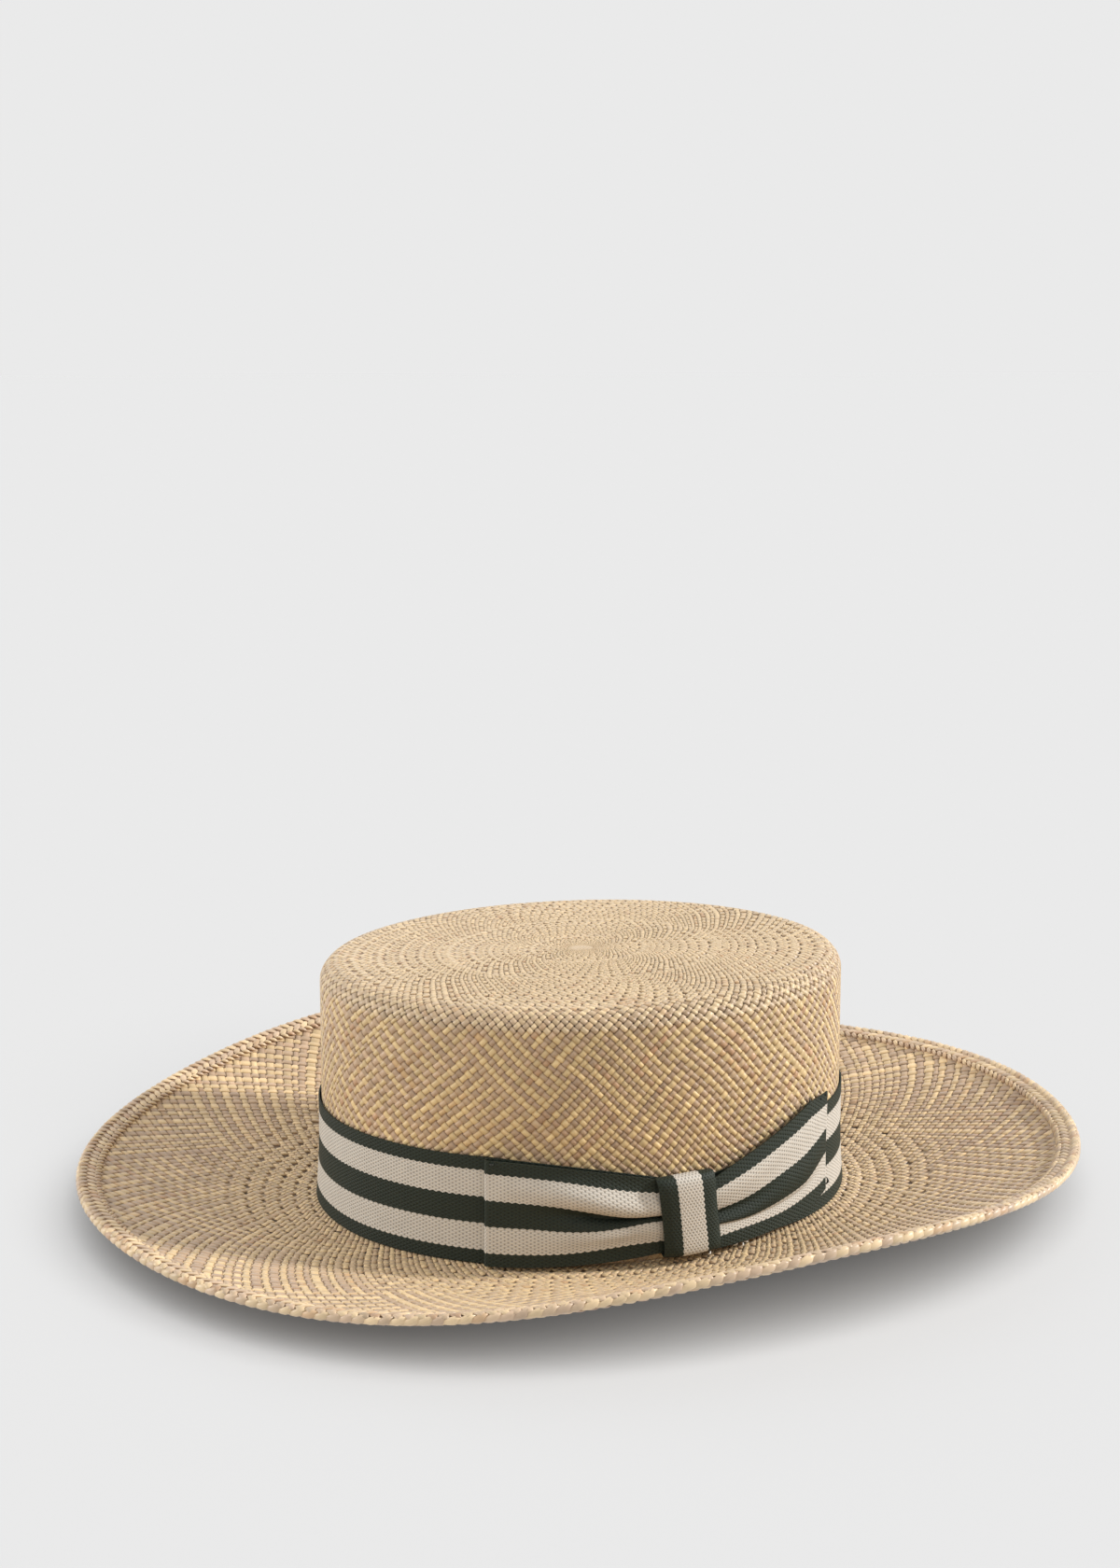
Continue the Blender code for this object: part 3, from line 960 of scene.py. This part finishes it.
@dataclass
class EdgePlait:
    """The plaited edge: a turned rim, four rows of plait that lean both ways over it and a thin ridge."""

    form: HatForm
    finish: bpy.types.Material
    width: float = 8.4 * MM
    rows: tuple[PlaitRow, ...] = (
        PlaitRow(
            "edge_rim_plait", across=-0.7 * MM, slant=0.40, pitch=4.3 * MM, length=8.6 * MM,
            width=3.1 * MM, thickness=1.1 * MM, lift=0.02 * MM,
        ),
        PlaitRow(
            "edge_under_plait", across=-3.9 * MM, slant=-0.60, pitch=4.0 * MM, length=6.6 * MM,
            width=2.8 * MM, thickness=0.9 * MM, lift=0.02 * MM, phase=0.4,
        ),
        PlaitRow(
            "edge_outer_plait", across=2.3 * MM, slant=-0.66, pitch=3.7 * MM, length=6.6 * MM,
            width=2.7 * MM, thickness=0.95 * MM, lift=0.10 * MM, phase=0.5,
        ),
        PlaitRow(
            "edge_inner_plait", across=5.4 * MM, slant=0.66, pitch=3.7 * MM, length=6.4 * MM,
            width=2.7 * MM, thickness=1.0 * MM, lift=0.10 * MM,
        ),
        PlaitRow(
            "edge_ridge", across=8.1 * MM, slant=-0.60, pitch=3.1 * MM, length=4.2 * MM,
            width=1.7 * MM, thickness=1.2 * MM, lift=0.10 * MM, phase=0.1,
        ),
    )
    ring: int = 8
    rings: int = 4
    bend: float = 1.4 * MM
    roll_steps: int = 420
    roll_ring: int = 12
    roll_half: tuple[float, float] = (4.2 * MM, 1.25 * MM)
    roll_drop: float = 0.55 * MM

    def build(self) -> None:
        """Make the turned edge and each row of the plait on it."""
        enlist(self._roll(), ("edge_braid",))
        for number, row in enumerate(self.rows):
            enlist(self._row(row, SEED + 50 + number), ("edge_braid",))

    def _on_edge(self, share: Array, run: Array, rise: Array) -> Array:
        """Points beside the brim's edge.

        Args:
            share: Shares of the way round.
            run: Distances out from the middle of the edge, along the brim's slope.
            rise: Heights above the brim's upper face, square to it.

        Returns:
            Rows of x, y and z.
        """
        form = self.form
        whole = np.full(share.size, form.brim_width)
        turns = form.turn_at(share, whole)
        slope = form.brim_slope(turns, whole)
        run = run - self.width / 2.0
        out = form.brim_width + run * np.cos(slope) - rise * np.sin(slope)
        height = form.edge_height(turns) + run * np.sin(slope) + rise * np.cos(slope)
        flat, _ = form.oval(turns, out)
        return np.concatenate([flat, height[:, None]], axis=1)

    def _over_roll(self, arc: Array, rise: Array) -> tuple[Array, Array]:
        """Where points lie over the rounded rim.

        Args:
            arc: Distances over the roll's surface from its outermost line, positive on the upper side.
            rise: Distances out from that surface.

        Returns:
            Distances out from the middle of the edge, and heights above the brim's upper face.
        """
        turn = np.clip(arc / self.bend, -math.pi / 2.0, math.pi / 2.0)
        flat = np.maximum(np.abs(arc) - self.bend * math.pi / 2.0, 0.0)
        reach = self.bend + rise
        run = self.width / 2.0 - self.bend - flat + reach * np.cos(turn)
        return run, reach * np.sin(turn) - self.roll_drop

    def _roll(self) -> bpy.types.Object:
        """The straw turned under the plait: a flattened tube all round, made darker and browner as painted
        shade under the plait.
        """
        grid = np.meshgrid(np.arange(self.roll_steps), np.arange(self.roll_ring), indexing="ij")
        k, i = (x.ravel() for x in grid)
        around = math.tau * i / self.roll_ring
        run = self.roll_half[0] * np.cos(around)
        rise = self.roll_half[1] * np.sin(around) - self.roll_drop
        points = self._on_edge(k / self.roll_steps, run, rise)
        after, beside = (k + 1) % self.roll_steps, (i + 1) % self.roll_ring
        quads = np.stack([k, k, after, after]) * self.roll_ring + np.stack([i, beside, beside, i])
        quads = quads.T[:, ::-1]
        uvs = np.stack([np.stack([i, i + 1, i + 1, i]), np.stack([k, k, k + 1, k + 1]) * 0.8], axis=2)
        uvs = uvs.transpose(1, 0, 2)[:, ::-1]
        count = len(quads)
        # Painted shade: a low shade value and a brown mix darken the roll where it lies in the plait's shadow.
        values = {"tone": 0.8, "shade": -0.5, "brown_tint": 0.5, "gap_shade": 0.0}
        numbers = {key: np.full(count, value) for key, value in values.items()}
        return lay_mesh("edge_roll", points, quads, numbers, uvs.reshape(-1, 2), self.finish)

    def _capsule(self) -> tuple[Array, Array]:
        """A unit capsule: points with x along its length, and quads."""
        turns = np.linspace(0.0, math.tau, self.ring, endpoint=False)
        along = np.linspace(-1.0, 1.0, self.rings + 1)
        girth = (1.0 - np.abs(along) ** 3.0) ** 0.5
        girth = np.maximum(girth, 0.06)
        x = np.repeat(along, self.ring)
        y = (girth[:, None] * np.cos(turns)).ravel()
        z = (girth[:, None] * np.sin(turns)).ravel()
        quads = []
        for k in range(self.rings):
            for i in range(self.ring):
                j = (i + 1) % self.ring
                base, above = k * self.ring, (k + 1) * self.ring
                quads.append((base + i, above + i, above + j, base + j))
        half = self.ring // 2
        for base, turn_over in ((0, False), (self.rings * self.ring, True)):
            for i in range(half - 1):
                quad = (base + i, base + i + 1, base + self.ring - 2 - i, base + self.ring - 1 - i)
                quads.append(quad[::-1] if turn_over else quad)
        return np.stack([x, y, z], axis=1), np.array(quads)

    def _row(self, row: PlaitRow, seed: int) -> bpy.types.Object:
        """One row as a joined mesh of bent capsules."""
        rng = np.random.default_rng(seed)
        form = self.form
        girth = form.girth + math.tau * (form.brim_width - max(row.across - self.bend, 0.0))
        count = int(round(girth / row.pitch))
        unit, quads = self._capsule()
        middle = (np.arange(count) + row.phase) / count
        length = row.length * rng.normal(1.0, 0.05, count)
        width = row.width * rng.normal(1.0, 0.06, count)
        slant = row.slant + rng.normal(0.0, 0.05, count)
        along = unit[None, :, 0] * length[:, None] / 2.0
        aside = unit[None, :, 1] * width[:, None] / 2.0
        up = unit[None, :, 2] * row.thickness / 2.0
        tangent = along * np.cos(slant)[:, None] - aside * np.sin(slant)[:, None]
        across = row.across + along * np.sin(slant)[:, None] + aside * np.cos(slant)[:, None]
        up = up + row.lift - row.dip * unit[None, :, 0] ** 2 + row.climb * unit[None, :, 0]
        share = middle[:, None] + tangent / girth
        up = np.broadcast_to(up, across.shape)
        points = self._on_edge(share.ravel(), *self._over_roll(across.ravel(), up.ravel()))
        every = (np.arange(count) * len(unit))[:, None, None] + quads[None]
        every = every.reshape(-1, 4)
        tone, shade = self._colours(rng, count, row)
        per = len(quads)
        numbers = {
            "tone": np.repeat(tone, per),
            "shade": np.repeat(shade, per),
            "brown_tint": np.repeat((rng.random(count) < 0.12) * 0.5, per),
            "gap_shade": np.zeros(count * per),
        }
        corner = unit[quads]
        uvs = np.stack([corner[..., 1] * 0.32 + 0.5, corner[..., 0] * 0.32 + 0.5], axis=-1)
        uvs = uvs[None] + np.stack([np.arange(count)] * 2, axis=1)[:, None, None, :]
        return lay_mesh(row.name, points, every, numbers, uvs.reshape(-1, 2), self.finish)

    def _colours(self, rng: np.random.Generator, count: int, row: PlaitRow) -> tuple[Array, Array]:
        """Tone and shade of each segment: short runs of cream and of taupe."""
        swaps = rng.random(count) < 0.45
        tone = (np.cumsum(swaps) % 2) * row.taupe * rng.uniform(0.6, 1.0, count)
        return tone, rng.normal(0.0, 0.28, count)


# ---------------------------------------------------------------- ribbon


def smooth(value: Array, low: float, high: float) -> Array:
    """0 below low, 1 above high, smooth between."""
    share = np.clip((value - low) / (high - low), 0.0, 1.0)
    return share * share * (3.0 - 2.0 * share)


@dataclass(frozen=True)
class Fold:
    """A fold along a ribbon: its middle and half width across it, and how much of it is taken up."""

    middle: float
    half: float
    depth: Array


def spread(v: Array, folds: tuple[Fold, ...]) -> Array:
    """The share of a gathered width reached across a ribbon whose folds take some of it up.

    Args:
        v: Shares across the flat ribbon.
        folds: The folds.

    Returns:
        Shares of the width that is left.
    """
    erf = np.vectorize(math.erf)
    taken, whole = np.zeros_like(v), np.ones_like(v)
    for fold in folds:
        middle, half = fold.middle, fold.half
        reach = fold.depth * half * math.sqrt(math.pi) / 2.0
        taken = taken + reach * (erf((v - middle) / half) - math.erf(-middle / half))
        whole = whole - reach * (math.erf((1.0 - middle) / half) - math.erf(-middle / half))
    return np.clip((v - taken) / whole, 0.0, 1.0)


def bulge(v: Array, middle: float, half: float) -> Array:
    """A soft ridge across the ribbon, 1 on its middle line."""
    return np.exp(-(((v - middle) / half) ** 2))


@dataclass(frozen=True)
class RibbonCut:
    """A length of ribbon as cut: its length, its width and the part of the stripes that it shows."""

    length: float
    width: float = 39.0 * MM
    from_share: float = 0.0
    to_share: float = 1.0
    thickness: float = 0.55 * MM


def bend_ribbon(
    name: str, cut: RibbonCut, steps: tuple[int, int], shape: Callable[[Array, Array], Array],
    finish: bpy.types.Material, closed: bool = False,
) -> bpy.types.Object:
    """Bend a flat grid into a ribbon piece.

    Args:
        name: The piece's name.
        cut: Its flat size.
        steps: Faces along and across.
        shape: Gives points from shares along and across.
        finish: The material.
        closed: Whether its ends meet.

    Returns:
        The finished piece with its wall.
    """
    deselect_all()
    bpy.ops.mesh.primitive_grid_add(x_subdivisions=steps[0], y_subdivisions=steps[1], size=2.0)
    piece = bpy.context.active_object
    piece.name = piece.data.name = name
    mesh = piece.data
    flat = np.array([v.co[:2] for v in mesh.vertices]) * 0.5 + 0.5
    points = shape(flat[:, 0], flat[:, 1])
    layer = mesh.uv_layers[0]
    layer.name = "ribbon"
    corner = flat[[loop.vertex_index for loop in mesh.loops]]
    share = cut.from_share + (cut.to_share - cut.from_share) * corner[:, 1]
    layer.uv.foreach_set("vector", np.stack([corner[:, 0] * cut.length, share], axis=1).ravel())
    mesh.vertices.foreach_set("co", points.astype(np.float32).ravel())
    mesh.update()
    if closed:
        bpy.ops.object.mode_set(mode="EDIT")
        bpy.ops.mesh.select_all(action="SELECT")
        bpy.ops.mesh.remove_doubles(threshold=0.01 * MM)
        bpy.ops.object.mode_set(mode="OBJECT")
    wall = piece.modifiers.new("wall", "SOLIDIFY")
    wall.thickness = cut.thickness
    wall.offset = 0.0
    bpy.ops.object.modifier_apply(modifier=wall.name)
    piece.data.shade_smooth()
    piece.data.set_sharp_from_angle(angle=math.radians(SHARP_ANGLE))
    piece.data.materials.append(finish)
    return piece


@dataclass(frozen=True)
class Thread:
    """A short thread: where it lies in degrees round, height and distance out, and its length, tilt and radius.

    Its sizes are in millimetres, and its tilt is in degrees.
    """

    degrees: float
    height: float
    out: float
    length: float
    tilt: float
    radius: float = 0.42


@dataclass
class HatRibbon:
    """The ribbon round the crown's foot and the flat bow: a loop, a knot and a cut end."""

    form: HatForm
    finish: bpy.types.Material
    thread: bpy.types.Material
    fluff: bpy.types.Material
    width: float = 39.0 * MM
    bottom: float = 2.6 * MM
    knot_turn: float = 99.2
    pinch_turn: float = 42.0
    pinch_top: float = 11.2 * MM
    pinch_bottom: float = 2.5 * MM
    band_out: float = 0.85 * MM
    loop_fold: float = 58.6
    loop_inner: float = 2.1 * MM
    loop_outer: float = 4.5 * MM
    loop_low: tuple[float, float] = (3.2 * MM, 6.6 * MM)
    loop_knot_high: float = 32.9 * MM
    knot_half: float = 5.9
    knot_low: float = 5.6 * MM
    knot_high: float = 34.3 * MM
    knot_back: float = 1.9 * MM
    knot_front: float = 8.6 * MM
    knot_lean: float = 5.0
    tail_end: float = 141.0
    tail_corner: float = 132.5
    tail_low: tuple[float, float] = (5.2 * MM, 10.0 * MM)
    tail_high: tuple[float, float] = (31.0 * MM, 47.6 * MM)
    tail_out: tuple[float, float] = (5.4 * MM, 2.4 * MM)
    under_knot: float = 0.8
    back_share: float = 0.46

    def build(self) -> None:
        """Make the band, the bow and what is sewn."""
        self._band()
        self._loop()
        self._knot()
        self._tail()
        self._stitches()

    def _pinch(self, degrees: Array) -> Array:
        """How far the band is drawn in: 1 behind the knot."""
        away = np.clip(np.abs(degrees - self.knot_turn) / self.pinch_turn, 0.0, 1.0)
        return np.cos(math.pi / 2.0 * away) ** 2

    def _band(self) -> None:
        """The ribbon round the crown, joined behind the knot."""

        def shape(u: Array, v: Array) -> Array:
            """Points of the band."""
            degrees = self.knot_turn + 360.0 * u
            pinch = self._pinch((degrees - 360.0 * (u > 0.5)))
            low = self.bottom + self.pinch_bottom * pinch
            high = self.bottom + self.width - self.pinch_top * pinch
            height = low + (high - low) * v
            slack = 0.12 * MM * np.sin(math.tau * 9.0 * u + 3.0 * v) * (1.0 - pinch)
            return self.form.on_wall(np.radians(degrees), self.band_out + slack, height)

        cut = RibbonCut(length=self.form.girth + math.tau * self.band_out)
        piece = bend_ribbon("hat_band_ribbon", cut, (420, 14), shape, self.finish, closed=True)
        enlist(piece, ("hat_band",))

    def _loop(self) -> None:
        """The loop: flat behind, folded at its end, and gathered into a pleat in front."""
        near = self.knot_turn - self.knot_half + self.under_knot
        radius = (self.loop_outer - self.loop_inner) / 2.0
        bend = math.degrees(radius / self.form.half_length)
        fold = self.loop_fold + bend
        flat_back = self.back_share

        def shape(u: Array, v: Array) -> Array:
            """Points of the loop."""
            back = u < flat_back
            front = u > 1.0 - flat_back
            around = np.clip((u - flat_back) / (1.0 - 2.0 * flat_back), 0.0, 1.0) * math.pi
            way = np.where(back, 1.0 - u / flat_back, np.where(front, (u - 1.0 + flat_back) / flat_back, 0.0))
            degrees = fold + (near - fold) * way - bend * np.sin(around)
            out = self.loop_inner + radius * (1.0 - np.cos(around))
            gather = smooth(way, 0.25, 0.80) * front
            low = self.loop_low[0] + (self.loop_low[1] - self.loop_low[0]) * way**1.6
            top = self.bottom + self.width
            high = top + (self.loop_knot_high - top) * way**1.7
            dimple = smooth(way, 0.35, 0.92) * front
            sag = smooth(way, 0.20, 0.70) * (1.0 - 0.5 * smooth(way, 0.75, 1.0)) * front
            folds = (Fold(0.51, 0.14, 0.96 * dimple), Fold(0.25, 0.10, 0.45 * sag))
            height = low + (high - low) * spread(v, folds)
            lip = bulge(v, 0.74, 0.13)
            belly = bulge(v, 0.28, 0.14)
            crease = bulge(v, 0.54, 0.065)
            swell = np.sin(math.pi * np.clip(way, 0.0, 1.0)) ** 1.2 * front
            out = out + swell * (1.9 * MM * lip + 0.7 * MM * belly)
            out = out + gather * (1.9 * MM * lip + 0.9 * MM * belly - 4.2 * MM * crease)
            ripple = 0.22 * MM * gather * np.sin(math.tau * 2.5 * v + 4.0 * way)
            return self.form.on_wall(np.radians(degrees), out + ripple, height)

        cut = RibbonCut(length=128.0 * MM)
        piece = bend_ribbon("bow_loop_ribbon", cut, (150, 36), shape, self.finish)
        enlist(piece, ("bow_loop",))

    def _knot(self) -> None:
        """The short ribbon wrapped over the middle of the bow."""
        middle = (self.knot_low + self.knot_high) / 2.0
        half = (self.knot_high - self.knot_low) / 2.0
        deep = (self.knot_front - self.knot_back) / 2.0
        around = np.linspace(-0.20, 1.20, 600) * math.pi
        ups = -np.sign(np.cos(around)) * np.abs(np.cos(around)) ** 0.40
        outs = np.sign(np.sin(around)) * np.abs(np.sin(around)) ** 0.55
        climbs = np.diff(ups * half, prepend=-half)
        leaps = np.diff(outs * deep, prepend=outs[0] * deep)
        reached = np.cumsum(np.hypot(climbs, leaps))
        reached = (reached - reached[0]) / (reached[-1] - reached[0])

        def shape(u: Array, v: Array) -> Array:
            """Points of the knot: u runs from behind its foot over its front to behind its top."""
            up, forward = np.interp(u, reached, ups), np.interp(u, reached, outs)
            side = 2.0 * v - 1.0
            front = smooth(forward, -0.2, 0.6)
            height = middle + half * up * (1.0 - 0.02 * side**2)
            out = self.knot_back + deep * (1.0 + forward) + 0.5 * MM * (1.0 - side**2) * front
            out = out - 1.2 * MM * np.abs(side) ** 6 * front
            waist = 1.0 - 0.04 * (1.0 - up**2)
            lean = math.tan(math.radians(self.knot_lean))
            shift = np.degrees((height - middle) * lean / self.form.half_length)
            degrees = self.knot_turn - 0.4 + self.knot_half * side * waist - shift
            return self.form.on_wall(np.radians(degrees), out, height + 0.35 * MM * side)

        cut = RibbonCut(length=46.0 * MM, width=21.4 * MM, from_share=0.545, to_share=-0.03)
        piece = bend_ribbon("bow_knot_ribbon", cut, (72, 20), shape, self.finish)
        enlist(piece, ("bow_knot",))

    def _tail_edges(self, way: Array) -> tuple[Array, Array, Array]:
        """Angle in degrees and lower and upper edge of the cut end, from the knot to its end."""
        near = self.knot_turn + self.knot_half - self.under_knot
        degrees = near + (self.tail_end - near) * way
        rise = np.clip((degrees - near) / (self.tail_corner - near), 0.0, 1.0)
        low = self.tail_low[0] + (self.tail_low[1] - self.tail_low[0]) * np.clip(way, 0.0, 1.0) ** 3.5
        high = self.tail_high[0] + (self.tail_high[1] - self.tail_high[0]) * rise**0.86
        return degrees, low, high

    def _tail(self) -> None:
        """The cut end: gathered at the knot, it fans out and lies flat at its stitched corners."""

        def shape(u: Array, v: Array) -> Array:
            """Points of the cut end."""
            degrees, low, high = self._tail_edges(u)
            gather = 1.0 - smooth(u, 0.0, 0.55)
            tuck = smooth(u, -0.2, 0.3) * (1.0 - smooth(u, 0.70, 1.0))
            folds = (Fold(0.40, 0.13, 0.70 * gather), Fold(0.27, 0.10, 0.75 * tuck))
            height = low + (high - low) * spread(v, folds)
            out = self.tail_out[1] + (self.tail_out[0] - self.tail_out[1]) * (1.0 - u) ** 1.3
            ridge = bulge(v, 0.50, 0.16)
            valley = bulge(v, 0.27, 0.08)
            top = bulge(v, 0.80, 0.14)
            swell = np.sin(math.pi * np.clip(u, 0.0, 1.0)) ** 0.9
            out = out + swell * (1.9 * MM * ridge + 1.1 * MM * top - 0.6 * MM * valley)
            out = out + gather * (1.2 * MM * top - 2.2 * MM * bulge(v, 0.56, 0.06))
            ripple = 0.25 * MM * gather * np.sin(math.tau * 2.6 * v + 3.0 * u)
            slant = 0.9 * (v - 0.5) * smooth(u, 0.6, 1.0)
            return self.form.on_wall(np.radians(degrees + slant), out + ripple, height)

        cut = RibbonCut(length=66.0 * MM)
        piece = bend_ribbon("bow_tail_ribbon", cut, (90, 36), shape, self.finish)
        enlist(piece, ("bow_tail",))

    def _stitches(self) -> None:
        """Short tacks of dark thread at the bow's corners, and a few loose pale fibres by the knot."""
        tacks = (
            Thread(self.tail_end - 0.8, 47.0, 3.0, 2.4, 25.0),
            Thread(self.tail_end - 3.4, 46.6, 3.0, 2.2, 50.0),
            Thread(self.tail_corner + 0.4, 47.6, 2.8, 2.4, 60.0),
            Thread(self.tail_end + 0.2, 12.6, 3.2, 2.6, 65.0),
            Thread(self.loop_fold + 1.6, 40.6, 5.6, 1.6, 10.0),
        )
        threads = [self._thread(tack) for tack in tacks]
        piece = self._join(threads, "bow_stitches", self.thread)
        enlist(piece, ("bow_tail",))
        specks = (
            Thread(110.2, 4.0, 3.4, 2.4, 30.0, radius=0.3),
            Thread(111.4, 3.6, 4.4, 1.8, 70.0, radius=0.3),
            Thread(112.6, 4.2, 4.0, 1.6, 5.0, radius=0.3),
            Thread(103.0, 4.4, 6.6, 1.6, 40.0, radius=0.3),
        )
        fibres = [self._thread(speck) for speck in specks]
        piece = self._join(fibres, "loose_fibres", self.fluff)
        enlist(piece, ("bow_tail",))

    def _thread(self, thread: Thread) -> bpy.types.Object:
        """A short thread as a bent rounded rod."""
        deselect_all()
        length = thread.length * MM
        bpy.ops.mesh.primitive_cylinder_add(vertices=8, radius=thread.radius * MM, depth=length)
        rod = bpy.context.active_object
        bpy.ops.object.mode_set(mode="EDIT")
        bpy.ops.mesh.select_all(action="SELECT")
        bpy.ops.mesh.subdivide(number_cuts=2)
        bpy.ops.object.mode_set(mode="OBJECT")
        lean = math.radians(thread.tilt)
        for vertex in rod.data.vertices:
            x, y, z = vertex.co
            end = abs(z) / (length / 2.0)
            slim = 1.0 - 0.45 * end**4
            side = z * math.cos(lean) - x * slim * math.sin(lean)
            up = z * math.sin(lean) + x * slim * math.cos(lean)
            far = thread.out * MM + y * slim - 0.8 * MM * end**2
            turn = np.array([math.radians(thread.degrees) + side / self.form.half_length])
            vertex.co = self.form.on_wall(turn, np.array([far]), np.array([thread.height * MM + up]))[0]
        return rod

    def _join(self, rods: list[bpy.types.Object], name: str, finish: bpy.types.Material) -> bpy.types.Object:
        """Join rods into one smooth piece at the origin."""
        deselect_all()
        for rod in rods:
            rod.select_set(True)
        bpy.context.view_layer.objects.active = rods[0]
        bpy.ops.object.join()
        piece = bpy.context.active_object
        piece.name = piece.data.name = name
        bpy.ops.object.mode_set(mode="EDIT")
        bpy.ops.mesh.select_all(action="SELECT")
        bpy.ops.mesh.normals_make_consistent(inside=False)
        bpy.ops.object.mode_set(mode="OBJECT")
        piece.data.shade_smooth()
        piece.data.materials.append(finish)
        return piece


# ---------------------------------------------------------------- studio


@dataclass(frozen=True)
class Sunlight:
    """A distant white light.

    Its height and its turn from the view's right are in degrees, as is its softness.
    """

    name: str
    strength: float
    height: float
    turn: float
    softness: float


class Reach(Enum):
    """What a light does with the floor."""

    ALL_BUT_FLOOR = "EXCLUDE"
    FLOOR_ALONE = "INCLUDE"


@dataclass
class Studio:
    """A pale floor and surround, a key light and a fill for the hat, washes for the floor and the camera."""

    floor_size: float = 60.0
    surround: float = 0.823
    key: Sunlight = Sunlight("key", strength=3.1, height=28.0, turn=6.5, softness=5.0)
    fill: Sunlight = Sunlight("fill", strength=1.4, height=20.0, turn=172.0, softness=30.0)
    washes: tuple[Sunlight, ...] = (
        Sunlight("front_wash", strength=9.0, height=46.0, turn=-90.0, softness=45.0),
        Sunlight("side_wash", strength=6.0, height=44.0, turn=-45.0, softness=45.0),
    )
    floor_glow: float = 0.10
    facing: float = 14.27
    distance: float = 0.760
    height: float = 0.3146
    pitch: float = 11.69
    aside: float = 0.00865
    lens: float = 47.76
    sensor: float = 36.0
    far_end: float = 100.0

    @property
    def right(self) -> tuple[float, float]:
        """The view's right, on the floor."""
        turn = math.radians(self.facing)
        return math.sin(turn), math.cos(turn)

    @property
    def away(self) -> tuple[float, float]:
        """The camera's way, on the floor."""
        turn = math.radians(self.facing)
        return -math.cos(turn), math.sin(turn)

    def build(self) -> None:
        """Make the floor, the lights and the camera."""
        floor = self._floor()
        self._surround()
        for light in (self.key, self.fill):
            self._sun(light, floor, Reach.ALL_BUT_FLOOR)
        for wash in self.washes:
            self._sun(wash, floor, Reach.FLOOR_ALONE)
        self._camera()

    def _floor(self) -> bpy.types.Object:
        """A wide plane whose lit colour meets the surround's."""
        deselect_all()
        bpy.ops.mesh.primitive_plane_add(size=self.floor_size)
        floor = bpy.context.active_object
        floor.name = floor.data.name = "studio_floor"
        wash = sum(light.strength * math.sin(math.radians(light.height)) for light in self.washes) / math.pi
        glow = self.floor_glow * self.surround
        tone = (self.surround - glow) / (self.surround + wash)
        floor.data.materials.append(FloorFinish("pale_floor", (tone, tone, tone, 1.0), glow).material())
        return floor

    def _surround(self) -> None:
        """Even light from all round."""
        world = bpy.data.worlds.new("surround")
        world.use_nodes = True
        shade = world.node_tree.nodes["Background"]
        shade.inputs["Color"].default_value = (self.surround, self.surround, self.surround, 1.0)
        shade.inputs["Strength"].default_value = 1.0
        bpy.context.scene.world = world
        bpy.context.scene.view_settings.view_transform = "Standard"

    def _sun(self, light: Sunlight, floor: bpy.types.Object, reach: Reach) -> None:
        """Make a distant light that leaves the floor out, or reaches only it.

        Args:
            light: What it is.
            floor: The floor.
            reach: Which of the two.
        """
        data = bpy.data.lights.new(light.name, "SUN")
        data.energy = light.strength
        data.angle = math.radians(light.softness)
        lamp = bpy.data.objects.new(light.name, data)
        bpy.context.scene.collection.objects.link(lamp)
        turn = math.atan2(self.right[1], self.right[0]) + math.radians(light.turn)
        lamp.rotation_euler = (math.radians(90.0 - light.height), 0.0, turn + math.pi / 2.0)
        group = bpy.data.collections.new(f"{light.name}_reach")
        group.objects.link(floor)
        group.collection_objects[0].light_linking.link_state = reach.value
        lamp.light_linking.receiver_collection = group

    def _camera(self) -> None:
        """The camera, on the bow's side of the hat and looking a little down on it."""
        data = bpy.data.cameras.new("camera")
        data.lens = self.lens
        data.sensor_width = self.sensor
        data.clip_end = self.far_end
        camera = bpy.data.objects.new("camera", data)
        bpy.context.scene.collection.objects.link(camera)
        x = -self.aside * self.right[0] - self.distance * self.away[0]
        y = -self.aside * self.right[1] - self.distance * self.away[1]
        camera.location = (x, y, self.height)
        turn = math.radians(90.0 - self.facing)
        camera.rotation_euler = (math.radians(90.0 - self.pitch), 0.0, turn)
        bpy.context.scene.camera = camera


def main() -> None:
    """Build the studio and then the hat, from the crown to the bow."""
    logging.basicConfig(level=logging.INFO, format="%(name)s: %(message)s")
    form = HatForm()
    straw = StrawFinish(
        "straw", (0.69, 0.50, 0.245, 1.0), (0.48, 0.325, 0.205, 1.0), (0.46, 0.23, 0.10, 1.0), groove=0.44
    )
    top_straw = StrawFinish(
        "top_straw", (0.65, 0.48, 0.275, 1.0), (0.46, 0.32, 0.20, 1.0), (0.44, 0.24, 0.11, 1.0),
        groove=0.50, dive=0.34, fibres=0.42,
    )
    brim_straw = StrawFinish(
        "brim_straw", (0.70, 0.505, 0.27, 1.0), (0.445, 0.30, 0.195, 1.0), (0.44, 0.24, 0.11, 1.0),
        groove=0.50, dive=0.34, fibres=0.42,
    )
    inside = StrawFinish(
        "inner_straw", (0.66, 0.50, 0.30, 1.0), (0.48, 0.35, 0.24, 1.0), (0.42, 0.24, 0.12, 1.0)
    )
    edge = StrawFinish(
        "edge_straw", (0.66, 0.49, 0.29, 1.0), (0.49, 0.345, 0.24, 1.0), (0.44, 0.24, 0.12, 1.0), groove=0.2
    )
    ribbon = RibbonFinish("striped_grosgrain", (0.020, 0.028, 0.019, 1.0), (0.60, 0.555, 0.485, 1.0))
    thread = ThreadFinish("dark_thread", (0.020, 0.024, 0.018, 1.0))
    fluff = ThreadFinish("pale_fibre", (0.85, 0.80, 0.72, 1.0))
    Studio().build()
    straw_material, inside_material = straw.material(), inside.material()
    Crown(form, straw_material, top_straw.material(), inside_material).build()
    Brim(form, brim_straw.material(), inside_material).build()
    EdgePlait(form, edge.material()).build()
    HatRibbon(form, ribbon.material(), thread.material(), fluff.material()).build()


if __name__ == "__main__":
    main()
